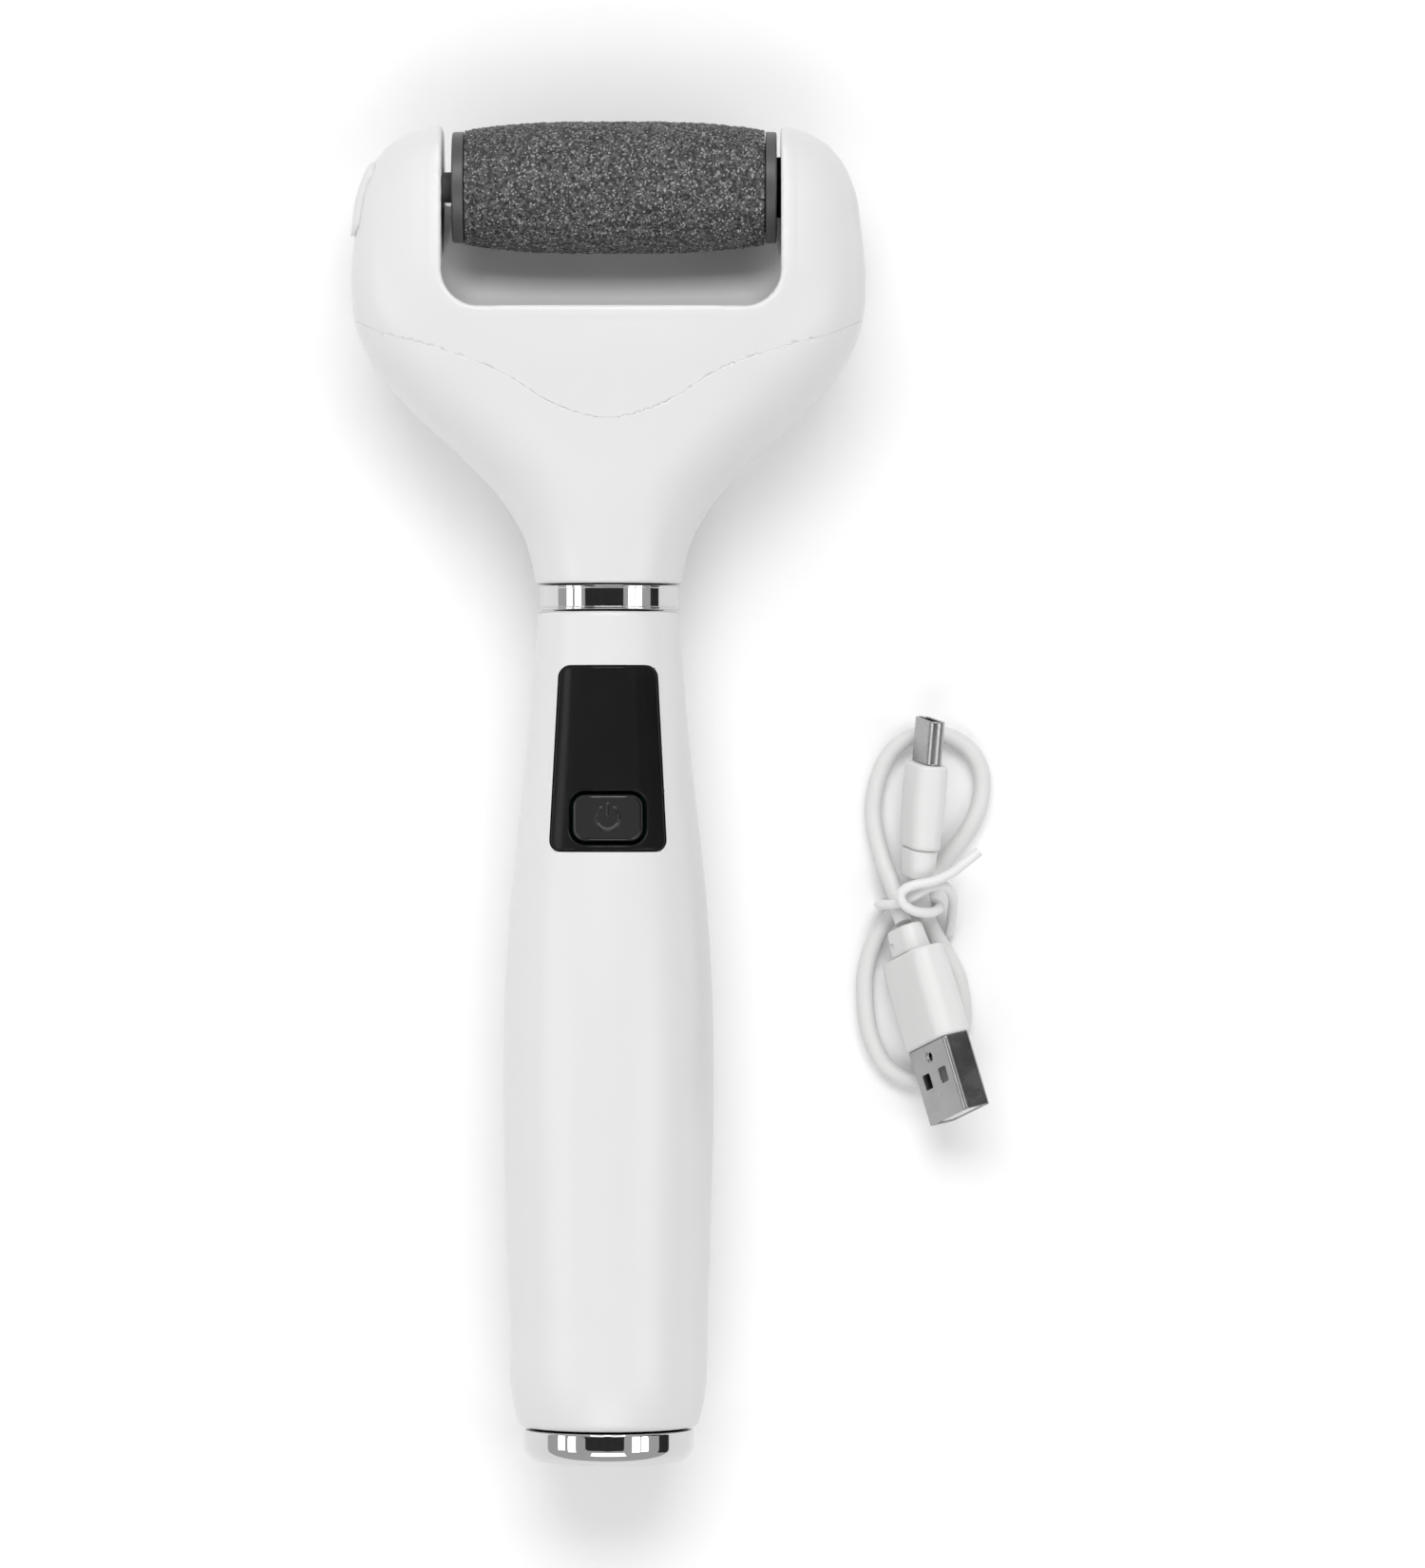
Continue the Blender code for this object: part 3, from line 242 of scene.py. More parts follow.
def head_cover_field(x, y, z):
    body = head_body(x, y, z)
    shell = without(body, body + WALL, 0.4)
    walls = np.maximum(bay(x, y, z) - WALL, body)
    solid = either(shell, walls, 0.3)
    solid = without(solid, bay(x, y, z), 0.7)
    # Seats for the bearing plates, the bore of the pin and the opening of the release button
    inner = np.maximum(body + PLATE_COVER, y - AXLE_Y - 1)
    seat_depth = PLATE_DEPTH + PLATE_GAP
    for start, end in ((BAY_LEFT - seat_depth, BAY_LEFT + 2), (BAY_RIGHT - 2, BAY_RIGHT + seat_depth)):
        seat = np.maximum(disc(x, y, z, start, end, PLATE_RADIUS + PLATE_GAP), inner)
        solid = without(solid, seat, 0.12)
    solid = without(solid, disc(x, y, z, BAY_LEFT - PIN_BORE_DEPTH, BAY_LEFT + 2, PIN_BORE), 0.1)
    opening = np.maximum(release_region(y, z, RELEASE_GAP), x - RELEASE_OPENING_END)
    solid = without(solid, opening, 0.1)
    return both(solid, SEAM_GAP / 2 - seam_distance(x, y), 0.06)


def neck_shell_field(x, y, z):
    body = head_body(x, y, z)
    solid = without(body, body + WALL, 0.4)
    solid = both(solid, NECK_LOW - y, 0.25)
    solid = both(solid, SEAM_GAP / 2 + seam_distance(x, y), 0.06)
    return np.minimum(solid, seam_lip(body, x, y))


def window_prism(x, y, grow):
    lean = (WINDOW_LOW_WIDTH - WINDOW_HIGH_WIDTH) / 2 / (WINDOW_HIGH - WINDOW_LOW)
    half = WINDOW_LOW_WIDTH / 2 - lean * (y - WINDOW_LOW)
    sides = (np.abs(x) - half) / math.hypot(1, lean) - grow
    ends = slab(y, WINDOW_LOW, WINDOW_HIGH) - grow
    return both(sides, ends, WINDOW_CORNER + grow)


def button_prism(x, y, grow):
    sides = np.abs(x) - BUTTON_WIDTH / 2 - grow
    return both(sides, np.abs(y - BUTTON_Y) - BUTTON_HEIGHT / 2 - grow, BUTTON_CORNER + grow)


def handle_field(x, y, z):
    body = housing(HANDLE_TABLE, x, y, z)
    solid = without(body, body + WALL - 0.2, 0.3)
    solid = both(solid, HANDLE_END - y, 0.9)
    solid = both(solid, y - HANDLE_TOP, 0.3)
    return np.maximum(solid, -np.maximum(window_prism(x, y, 0.0), AXIS_Z - z))


def window_field(x, y, z):
    body = housing(HANDLE_TABLE, x, y, z)
    solid = both(body, -(body + WINDOW_THICKNESS), 0.1)
    prism = np.maximum(window_prism(x, y, -WINDOW_GAP), AXIS_Z - z)
    solid = both(solid, prism, 0.3)
    return without(solid, button_prism(x, y, BUTTON_GROOVE), 0.25)


def power_symbol(x, y):
    """The usual broken circle with a bar, as distance from its lines."""
    radius, opening, stroke = 1.75, math.radians(34), 0.14
    bar_low, bar_high = 0.35, 2.0
    dx, dy = np.abs(x), y - BUTTON_Y
    angle = np.arctan2(dx, dy)
    end = (radius * math.sin(opening), radius * math.cos(opening))
    tips = np.hypot(dx - end[0], dy - end[1])
    arc = np.where(angle > opening, np.abs(np.hypot(dx, dy) - radius), tips)
    bar = np.hypot(dx, dy - np.clip(dy, bar_low, bar_high))
    return np.minimum(arc, bar) - stroke


def power_button_field(x, y, z):
    body = housing(HANDLE_TABLE, x, y, z)
    solid = both(body, button_prism(x, y, 0.0), 0.45)
    solid = both(solid, button_low[2] - z, 0.2)
    symbol = np.maximum(power_symbol(x, y), np.abs(body) - 0.1)
    return np.minimum(solid, symbol)


def release_button_field(x, y, z):
    body = head_body(x, y, z)
    solid = both(body - RELEASE_PROUD, release_region(y, z, 0.0), 0.5)
    solid = both(solid, -(body + RELEASE_THICKNESS), 0.2)
    return np.maximum(solid, x - RELEASE_CAP_END)


# ---------------------------------------------------------------- meshes from fields


def slopes(field, points, step=0.01):
    """The field's gradient at each point."""
    return np.stack(
        [(field(*(points + o).T) - field(*(points - o).T)) / (2 * step) for o in np.eye(3) * step], axis=1
    )


def onto_surface(points, field, voxel):
    """Points moved to the field's zero surface, by less than a voxel each time."""
    slope = slopes(field, points)
    move = field(*points.T)[:, None] * slope / np.maximum((slope**2).sum(1), 0.2)[:, None]
    length = np.linalg.norm(move, axis=1, keepdims=True)
    return points - move * np.minimum(1, 0.6 * voxel / np.maximum(length, 1e-9))


def onto_crease(points, first, second):
    """Points moved to the curve where two fields are both zero."""
    a, b = first(*points.T), second(*points.T)
    ga, gb = slopes(first, points), slopes(second, points)
    aa, bb, ab = (ga * ga).sum(1), (gb * gb).sum(1), (ga * gb).sum(1)
    det = np.maximum(aa * bb - ab**2, 1e-3)
    u, v = (a * bb - b * ab) / det, (b * aa - a * ab) / det
    return points - u[:, None] * ga - v[:, None] * gb


def beside_crease(points, edges, voxel, first, second):
    """Marks a chain of vertices to draw onto a crease, so that no edge of the mesh cuts its corner."""
    a, b = np.abs(first(*points.T)), np.abs(second(*points.T))
    away = np.hypot(a, b)
    chosen = (a < 0.6 * voxel) & (b < 0.6 * voxel)
    i, j = edges.T
    close = np.maximum(away[i], away[j]) < 1.6 * voxel
    cutting = ((a < b)[i] != (a < b)[j]) & ~chosen[i] & ~chosen[j] & close
    nearer = np.where(away[i] < away[j], i, j)[cutting]
    chosen[nearer] = True
    return chosen


def relaxed(points, edges, field, voxel, rounds, creases):
    """Points spread evenly over the field's zero surface, with those beside a crease drawn onto it."""
    near = [beside_crease(points, edges, voxel, a, b) for a, b in creases]
    for turn in range(rounds):
        if turn:
            total = np.zeros_like(points)
            count = np.zeros(len(points))
            for a, b in ((0, 1), (1, 0)):
                np.add.at(total, edges[:, a], points[edges[:, b]])
                np.add.at(count, edges[:, a], 1)
            points = points * 0.5 + total / np.maximum(count, 1)[:, None] * 0.5
        for _ in range(2):
            points = onto_surface(points, field, voxel)
        for chosen, (a, b) in zip(near, creases):
            for _ in range(3):
                points[chosen] = onto_crease(points[chosen], a, b)
    return points, near


def solid_mesh(name, field, low, high, voxel, rounds=3, creases=()):
    """A mesh object of the field's zero surface inside a box given in millimetres."""
    margin = 2.37 * voxel  # an odd share of a cell, so that flat faces seldom lie on grid points
    low = np.array(low, float) - margin
    counts = np.ceil((np.array(high, float) + margin - low) / voxel).astype(int) + 1
    axes = [low[i] + voxel * np.arange(counts[i]) for i in range(3)]
    values = np.empty(counts, np.float32)
    for i, x in enumerate(axes[0]):
        y, z = np.meshgrid(axes[1], axes[2], indexing="ij")
        values[i] = field(np.full_like(y, x), y, z)
    band = 3.0
    grid = openvdb.FloatGrid(band)
    grid.copyFromArray(np.clip(values / voxel, -band, band))
    points, triangles, quads = grid.convertToPolygons(isovalue=0.0)
    points = points.astype(float) * voxel + low
    quads = np.asarray(quads, int)
    edges = np.concatenate([quads[:, [0, 1]], quads[:, [1, 2]], quads[:, [2, 3]], quads[:, [3, 0]]])
    edges = np.unique(np.sort(edges, axis=1), axis=0)
    points, near = relaxed(points, edges, field, voxel, rounds, creases)
    a, b, c, d = (points[quads[:, i]] for i in range(4))
    if np.einsum("ij,ij->", np.cross(c - a, d - b), a) < 0:
        quads = quads[:, ::-1]
    obj = mesh_object(name, points, [*quads.tolist(), *np.asarray(triangles, int).tolist()])
    for chosen in near:
        ends = np.empty(len(obj.data.edges) * 2, int)
        obj.data.edges.foreach_get("vertices", ends)
        for edge in np.flatnonzero(chosen[ends.reshape(-1, 2)].all(axis=1)):
            obj.data.edges[edge].use_edge_sharp = True
    return obj


def mesh_object(name, points, faces):
    mesh = bpy.data.meshes.new(name)
    mesh.from_pydata((np.asarray(points) * MM).tolist(), [], faces)
    mesh.update()
    mesh.polygons.foreach_set("use_smooth", [True] * len(mesh.polygons))
    obj = bpy.data.objects.new(name, mesh)
    bpy.context.scene.collection.objects.link(obj)
    return obj


def lathe(name, profile, axis, centre, segments=160):
    """A closed profile of (along, radius) turned about an axis through centre."""
    across = {"X": (1, 2, 0), "Y": (2, 0, 1)}[axis]
    points, faces = [], []
    for along, radius in profile:
        for i in range(segments):
            angle = 2 * math.pi * i / segments
            p = [0.0, 0.0, 0.0]
            p[across[0]] = centre[across[0]] + radius * math.cos(angle)
            p[across[1]] = centre[across[1]] + radius * math.sin(angle)
            p[across[2]] = along
            points.append(p)
    rows = len(profile)
    for r in range(rows):
        s = (r + 1) % rows
        for i in range(segments):
            j = (i + 1) % segments
            faces.append((r * segments + i, r * segments + j, s * segments + j, s * segments + i))
    corners = np.array(points)[np.array(faces)]
    turned = np.cross(corners[:, 2] - corners[:, 0], corners[:, 3] - corners[:, 1])
    if np.einsum("ij,ij->", turned, corners[:, 0] - np.array(centre)) < 0:
        faces = [face[::-1] for face in faces]
    return mesh_object(name, points, faces)


def rounded_profile(corners, steps=6):
    """A closed profile whose corners (along, radius, rounding) are replaced by arcs.

    A point just past each end of an arc keeps the flat beside it flat when it is shaded smooth.
    """
    support = 0.03
    profile = []
    count = len(corners)
    for i in range(count):
        before, here, after = (np.array(corners[(i + k) % count][:2], float) for k in (-1, 0, 1))
        rounding = corners[i][2]
        if rounding <= 0:
            profile.append(tuple(here))
            continue
        u = (before - here) / np.linalg.norm(before - here)
        v = (after - here) / np.linalg.norm(after - here)
        half = math.acos(float(np.clip(u @ v, -1, 1))) / 2
        centre = here + (u + v) / np.linalg.norm(u + v) * rounding / math.sin(half)
        reach = rounding / math.tan(half)
        first, last = here + u * reach - centre, here + v * reach - centre
        profile.append(tuple(here + u * (reach + support)))
        for k in range(steps + 1):
            t = k / steps
            spoke = first * (1 - t) + last * t
            profile.append(tuple(centre + spoke / np.linalg.norm(spoke) * rounding))
        profile.append(tuple(here + v * (reach + support)))
    return profile


def sharp_edges(obj, angle=30):
    obj.data.set_sharp_from_angle(angle=math.radians(angle))


# ---------------------------------------------------------------- materials


class Nodes:
    """A small helper that adds and links shader nodes."""

    def __init__(self, name):
        self.material = bpy.data.materials.new(name)
        self.material.use_nodes = True
        self.tree = self.material.node_tree
        self.shader = self.tree.nodes["Principled BSDF"]
        self.place = self.add("ShaderNodeTexCoord").outputs["Object"]

    def add(self, kind, **settings):
        node = self.tree.nodes.new(kind)
        for key, value in settings.items():
            setattr(node, key, value)
        return node

    def link(self, output, socket):
        self.tree.links.new(output, socket)

    def noise(self, scale, detail=3.0, roughness=0.5):
        node = self.add("ShaderNodeTexNoise")
        node.inputs["Scale"].default_value = scale
        node.inputs["Detail"].default_value = detail
        node.inputs["Roughness"].default_value = roughness
        self.link(self.place, node.inputs["Vector"])
        return node.outputs["Fac"]

    def cells(self, scale):
        node = self.add("ShaderNodeTexVoronoi")
        node.inputs["Scale"].default_value = scale
        self.link(self.place, node.inputs["Vector"])
        return node

    def spread(self, value, low, high, from_low=0.3, from_high=0.7):
        node = self.add("ShaderNodeMapRange")
        node.inputs["From Min"].default_value = from_low
        node.inputs["From Max"].default_value = from_high
        node.inputs["To Min"].default_value = low
        node.inputs["To Max"].default_value = high
        self.link(value, node.inputs["Value"])
        return node.outputs["Result"]

    def colours(self, value, *stops):
        node = self.add("ShaderNodeValToRGB")
        ramp = node.color_ramp
        ramp.elements[0].position, ramp.elements[0].color = stops[0][0], (*stops[0][1], 1)
        ramp.elements[1].position, ramp.elements[1].color = stops[-1][0], (*stops[-1][1], 1)
        for position, colour in stops[1:-1]:
            ramp.elements.new(position).color = (*colour, 1)
        self.link(value, node.inputs["Fac"])
        return node.outputs["Color"]

    def bump(self, height, strength, distance):
        node = self.add("ShaderNodeBump")
        node.inputs["Strength"].default_value = strength
        node.inputs["Distance"].default_value = distance
        self.link(height, node.inputs["Height"])
        self.link(node.outputs["Normal"], self.shader.inputs["Normal"])

    def finish(self, colour, roughness, metallic=0.0, **plain):
        self.link(colour, self.shader.inputs["Base Color"])
        self.link(roughness, self.shader.inputs["Roughness"])
        self.shader.inputs["Metallic"].default_value = metallic
        for key, value in plain.items():
            self.shader.inputs[key.replace("_", " ")].default_value = value
        return self.material


def plain_like(name, colour, spread, rough_low, rough_high, grain, metallic=0.0, bump=0.02, **plain):
    """A moulded or machined surface: faint colour drift, uneven polish and fine grain."""
    n = Nodes(name)
    dark = tuple(c * (1 - spread) for c in colour)
    light = tuple(min(1.0, c * (1 + spread)) for c in colour)
    tone = n.colours(n.noise(60.0, 4.0), (0.35, dark), (0.65, light))
    rough = n.spread(n.noise(220.0, 3.0), rough_low, rough_high)
    n.bump(n.noise(grain, 2.0), bump, 0.0001)
    return n.finish(tone, rough, metallic, **plain)


def white_plastic():
    return plain_like("white_plastic", (0.72, 0.72, 0.718), 0.002, 0.3, 0.36, 4200.0, bump=0.03, IOR=1.5)


def chrome():
    return plain_like("chrome", (0.62, 0.62, 0.625), 0.01, 0.025, 0.05, 900.0, 1.0, bump=0.003)


def black_gloss():
    return plain_like(
        "black_gloss", (0.009, 0.009, 0.0095), 0.15, 0.12, 0.2, 900.0, bump=0.004, Specular_IOR_Level=0.12
    )


def button_gloss():
    return plain_like("button_gloss", (0.011, 0.011, 0.0115), 0.15, 0.08, 0.14, 900.0, bump=0.004)


def black_plastic():
    return plain_like("black_plastic", (0.016, 0.016, 0.017), 0.2, 0.42, 0.58, 3000.0, bump=0.08)


def rim_plastic():
    return plain_like("rim_plastic", (0.075, 0.075, 0.077), 0.15, 0.38, 0.5, 3000.0, bump=0.08)


def steel():
    return plain_like("steel", (0.36, 0.36, 0.365), 0.05, 0.2, 0.3, 2500.0, 1.0, bump=0.03)


def satin_steel():
    return plain_like("satin_steel", (0.3, 0.3, 0.305), 0.05, 0.5, 0.62, 2500.0, 0.6, bump=0.03)


def grit():
    """Dark mineral grains in a grey binder, with painted glints: a few bright specks added to the base
    colour where grain facets would catch the light.
    """
    n = Nodes("grit")
    grain, glint_cells = n.cells(2500.0), n.cells(4200.0)
    dark, binder, pale = (0.012, 0.012, 0.0125), (0.042, 0.042, 0.043), (0.1, 0.1, 0.103)
    tone = n.colours(grain.outputs["Color"], (0.2, dark), (0.5, binder), (0.8, pale))
    # Painted highlight: a few cells get a bright colour added to the grit, standing in for glints of light
    # off grain facets
    unglinted_colour, painted_glint_colour = (0.0, 0.0, 0.0), (0.26, 0.26, 0.265)
    painted_glint = n.colours(glint_cells.outputs["Color"], (0.72, unglinted_colour), (0.84, painted_glint_colour))
    mixed = n.add("ShaderNodeMixRGB", blend_type="ADD")
    mixed.inputs["Fac"].default_value = 1.0
    n.link(tone, mixed.inputs["Color1"])
    n.link(painted_glint, mixed.inputs["Color2"])
    rough = n.spread(n.noise(3000.0, 2.0), 0.3, 0.9)
    n.bump(grain.outputs["Distance"], 0.8, 0.00016)
    return n.finish(mixed.outputs["Color"], rough)


def cord_white():
    return plain_like("cord_white", (0.73, 0.73, 0.725), 0.004, 0.38, 0.48, 2600.0, bump=0.05)


def tie_white():
    return plain_like("tie_white", (0.77, 0.77, 0.77), 0.004, 0.3, 0.42, 2000.0, bump=0.05)


def other_materials():
    return {
        "brass": plain_like("brass", (0.72, 0.53, 0.24), 0.04, 0.2, 0.35, 2500.0, 1.0),
        "inner_plastic": plain_like("inner_plastic", (0.5, 0.51, 0.52), 0.03, 0.45, 0.6, 2500.0, bump=0.06),
        "gear_plastic": plain_like("gear_plastic", (0.78, 0.76, 0.68), 0.02, 0.35, 0.5, 2500.0),
        "board": plain_like("board", (0.02, 0.16, 0.07), 0.25, 0.35, 0.55, 1200.0, bump=0.08),
        "display_glass": plain_like("display_glass", (0.02, 0.03, 0.035), 0.1, 0.06, 0.12, 900.0),
        "battery_wrap": plain_like("battery_wrap", (0.03, 0.12, 0.35), 0.06, 0.25, 0.4, 900.0),
    }


MATERIALS = {
    "white_plastic": white_plastic(), "chrome": chrome(), "black_gloss": black_gloss(),
    "black_plastic": black_plastic(), "rim_plastic": rim_plastic(), "steel": steel(), "grit": grit(),
    "cord_white": cord_white(), "tie_white": tie_white(), "button_gloss": button_gloss(),
    "satin_steel": satin_steel(),
    **other_materials(),
}


def dress_frame():
    """Every CAD node gets the material of its own slot, except that the pin gets a satin steel."""
    slot_of = {part["node"]: part["material_slot"] for part in frame["record"]["subparts"]}
    for name, obj in frame["nodes"].items():
        obj.data.materials.clear()
        obj.data.materials.append(MATERIALS["satin_steel" if name == "release_pin" else slot_of[name]])
        weld = obj.modifiers.new("weld", "WELD")
        weld.merge_threshold = 1e-6
        for polygon in obj.data.polygons:
            polygon.use_smooth = True
        sharp_edges(obj)


def add(obj, body, slot, *replaced, finish=None):
    """Puts a piece in the model: its material, the body it rides on and the CAD nodes it stands for."""
    obj.data.materials.clear()
    obj.data.materials.append(MATERIALS[finish or slot])
    if replaced:
        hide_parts(*replaced)
    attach(obj, body)
    return obj


# ---------------------------------------------------------------- camera, light and floor


def make_camera():
    camera = bpy.data.objects.new("camera", bpy.data.cameras.new("camera"))
    bpy.context.scene.collection.objects.link(camera)
    bpy.context.scene.camera = camera
    distance, frame_height = 1.3, 0.2357
    camera.location = (0.0156, 0.00114, AXIS_Z * MM + distance)
    camera.data.sensor_width = 36.0
    camera.data.lens = camera.data.sensor_width * distance / frame_height


def area_light(name, location, size, power, target=(0.0, 0.0, 0.0)):
    data = bpy.data.lights.new(name, "AREA")
    data.shape = "RECTANGLE"
    data.size, data.size_y = size
    data.energy = power
    light = bpy.data.objects.new(name, data)
    light.location = location
    direction = np.array(target) - np.array(location)
    light.rotation_euler = Vector(direction).to_track_quat("-Z", "Y").to_euler()
    bpy.context.scene.collection.objects.link(light)
    return light


def stage_card(name, corners, colour):
    """A flat card beside or above the object, such as a black flag."""
    mesh = bpy.data.meshes.new(name)
    mesh.from_pydata(corners, [], [(0, 1, 2, 3)])
    card = bpy.data.objects.new(name, mesh)
    bpy.context.scene.collection.objects.link(card)
    n = Nodes(name)
    dark, light = (tuple(c * k for c in colour) for k in (0.98, 1.0))
    tone = n.colours(n.noise(3.0), (0.3, dark), (0.7, light))
    card.data.materials.append(n.finish(tone, n.spread(n.noise(8.0), 0.7, 0.8)))
    return card


def softbox(name, near_angle, far_angle, along, radiance):
    """A strip light beside the camera, spanning two angles from straight up and a stretch of Y."""
    distance = 1.7
    a, b = math.radians(near_angle), math.radians(far_angle)
    middle = (a + b) / 2
    width = 2 * distance * math.tan(abs(b - a) / 2)
    depth, centre = along[1] - along[0], (along[0] + along[1]) / 2
    location = (distance * math.sin(middle), centre, distance * math.cos(middle))
    return area_light(name, location, (width, depth), radiance * math.pi * width * depth, (0, centre, 0))


def make_stage():
    reach = 4.0
    under = -1e-4
    floor = [(-reach, -reach, under), (reach, -reach, under), (reach, reach, under), (-reach, reach, under)]
    stage_card("floor", floor, (0.96, 0.96, 0.96))
    # Only the stretch that the chrome ring and cap mirror towards the camera is flagged off
    height, front, back = 1.62, -0.36, 0.2
    flag = [(-0.85, front, height), (0.58, front, height), (0.78, back, height), (-1.4, back, height)]
    stage_card("overhead_flag", flag, (0.015, 0.015, 0.015))
    side, low, high, depth = 2.3, 0.02, 0.72, 1.0
    side_flag = [(side, -depth, low), (side, depth, low), (side, depth, high), (side, -depth, high)]
    stage_card("side_flag", side_flag, (0.02, 0.02, 0.02))
    # The narrow face of the larger plug mirrors this one
    x, near, far, low, high = 0.72, 0.11, 0.56, 0.14, 0.78
    plug_flag = [(x, near, low), (x, far, low), (x, far, high), (x, near, high)]
    stage_card("plug_flag", plug_flag, (0.02, 0.02, 0.02))
    world = bpy.data.worlds.new("studio")
    world.use_nodes = True
    world.node_tree.nodes["Background"].inputs["Color"].default_value = (1, 1, 1, 1)
    world.node_tree.nodes["Background"].inputs["Strength"].default_value = 0.5
    bpy.context.scene.world = world
    for_ring, for_cap, radiance = (-0.08, 0.24), (-0.42, -0.08), 2.4
    softbox("ring_left", -52, -80, for_ring, radiance)
    softbox("ring_right", 31, 70, for_ring, radiance)
    softbox("cap_left", -39, -62, for_cap, radiance)
    softbox("cap_right", 26, 50, for_cap, radiance)
    overhead_size = (1.5, 0.9)
    area_light("overhead_front", (0.0, -1.15, 1.6), overhead_size, 9.0)
    area_light("overhead_back", (0.0, 1.1, 1.6), overhead_size, 20.0)
    bpy.context.scene.view_settings.view_transform = "Standard"


# ---------------------------------------------------------------- the device


def make_head():
    low, high = head_low - 1, head_high + 1
    above = (head_body, lambda x, y, z: SEAM_GAP / 2 - seam_distance(x, y))
    below = (head_body, lambda x, y, z: SEAM_GAP / 2 + seam_distance(x, y))
    cover_low = (low[0], 53, -0.5)
    cover = solid_mesh(
        "head_cover_skin", head_cover_field, cover_low, high, SHELL_VOXEL, creases=[above]
    )
    add(cover, "housing", "white_plastic", "head_cover")
    neck_low, neck_high = (-39.5, NECK_LOW - 0.5, -0.5), node_box("neck_shell")[1] + 1
    neck = solid_mesh(
        "neck_shell_skin", neck_shell_field, neck_low, neck_high, SHELL_VOXEL, creases=[below]
    )
    add(neck, "housing", "white_plastic", "neck_shell")
    button_from, button_to = (-40, 82.5, 12), (-32, 95.2, 25)
    button = solid_mesh(
        "release_button_cap", release_button_field, button_from, button_to, RELEASE_VOXEL
    )
    add(button, "release_button", "white_plastic")


def make_handle():
    rim = (
        lambda x, y, z: housing(HANDLE_TABLE, x, y, z),
        lambda x, y, z: -np.maximum(window_prism(x, y, 0.0), AXIS_Z - z),
    )
    low, high = handle_low - 0.5, handle_high + 0.5
    handle = solid_mesh("handle_skin", handle_field, low, high, SHELL_VOXEL, creases=[rim])
    add(handle, "housing", "white_plastic", "handle_shell")
    low, high = window_low - 0.5, window_high + 0.5
    window = solid_mesh("window_panel", window_field, low, high, WINDOW_VOXEL)
    add(window, "housing", "black_gloss", "display_window")
    low, high = button_low - 0.3, button_high + 0.4
    button = solid_mesh("power_button_cap", power_button_field, low, high, BUTTON_VOXEL)
    add(button, "power_button", "black_gloss", "power_button", finish="button_gloss")


def make_ring():
    """A chrome band with a raised bead along each edge."""
    low, high, outer = ring_low[1], ring_high[1], (ring_high[0] - ring_low[0]) / 2
    inner, bead, dip = 8.4, 0.3, 0.14
    corners = (
        (low, inner, 0), (low, outer, 0.1), (low + bead, outer, 0.06),
        (low + bead + dip, outer - dip, 0.04), (high - bead - dip, outer - dip, 0.04),
        (high - bead, outer, 0.06), (high, outer, 0.1), (high, inner, 0),
    )
    ring = lathe("neck_ring_band", rounded_profile(corners), "Y", (0, 0, AXIS_Z), 240)
    sharp_edges(ring, 60)
    add(ring, "housing", "chrome", "neck_ring")


def cap_field(x, y, z):
    """The end cap with the spigot that goes into the handle and the charging port through its floor."""
    radial = np.hypot(x, z - AXIS_Z)
    radius = (cap_high[0] - cap_low[0]) / 2
    solid = both(radial - radius, cap_low[1] - y, CAP_ROUNDING)
    solid = both(solid, y - (HANDLE_END - 0.3), 0.2)
    spigot = np.maximum(radial - SPIGOT_RADIUS, slab(y, SPIGOT_START, cap_high[1]))
    solid = np.minimum(solid, spigot)
    solid = np.maximum(solid, -np.maximum(radial - SPIGOT_BORE, CAP_FLOOR - y))
    port = both(np.abs(x) - PORT_HALF_WIDTH, np.abs(z - AXIS_Z) - PORT_HALF_HEIGHT, PORT_CORNER)
    return without(solid, np.maximum(port, y - PORT_END), 0.3)


def make_cap():
    cap = solid_mesh("end_cap_shell", cap_field, cap_low - 0.5, cap_high + 0.5, CAP_VOXEL)
    add(cap, "housing", "chrome", "end_cap")


def roughen(sleeve, centre, rows, segments, least_radius):
    """Lifts and sinks the sleeve's skin by random grains of two sizes."""
    draw = np.random.default_rng(7)
    coarse = draw.random((rows // 2 + 2, segments // 4))
    across = np.linspace(0, coarse.shape[0] - 1.001, rows)
    round_ = np.arange(segments) / 4
    a, b = across.astype(int), round_.astype(int)
    fa, fb = (across - a)[:, None], (round_ - b)[None, :]
    after = (b + 1) % coarse.shape[1]
    blend = (coarse[a][:, b] * (1 - fb) + coarse[a][:, after] * fb) * (1 - fa)
    blend += (coarse[a + 1][:, b] * (1 - fb) + coarse[a + 1][:, after] * fb) * fa
    mean, height, fine = 0.62, 0.34, 0.022
    deepest, highest = -0.16, 0.13
    grains = (blend.ravel() - mean) * height + draw.normal(0, fine, rows * segments)
    points = np.empty(len(sleeve.data.vertices) * 3)
    sleeve.data.vertices.foreach_get("co", points)
    points = points.reshape(-1, 3)
    spokes = points - np.array(centre) * MM
    spokes[:, 0] = 0
    reach = np.linalg.norm(spokes, axis=1, keepdims=True)
    outside = reach > least_radius * MM
    points += spokes / reach * np.clip(grains, deepest, highest)[:, None] * MM * outside
    sleeve.data.vertices.foreach_set("co", points.ravel())
    sleeve.data.update()


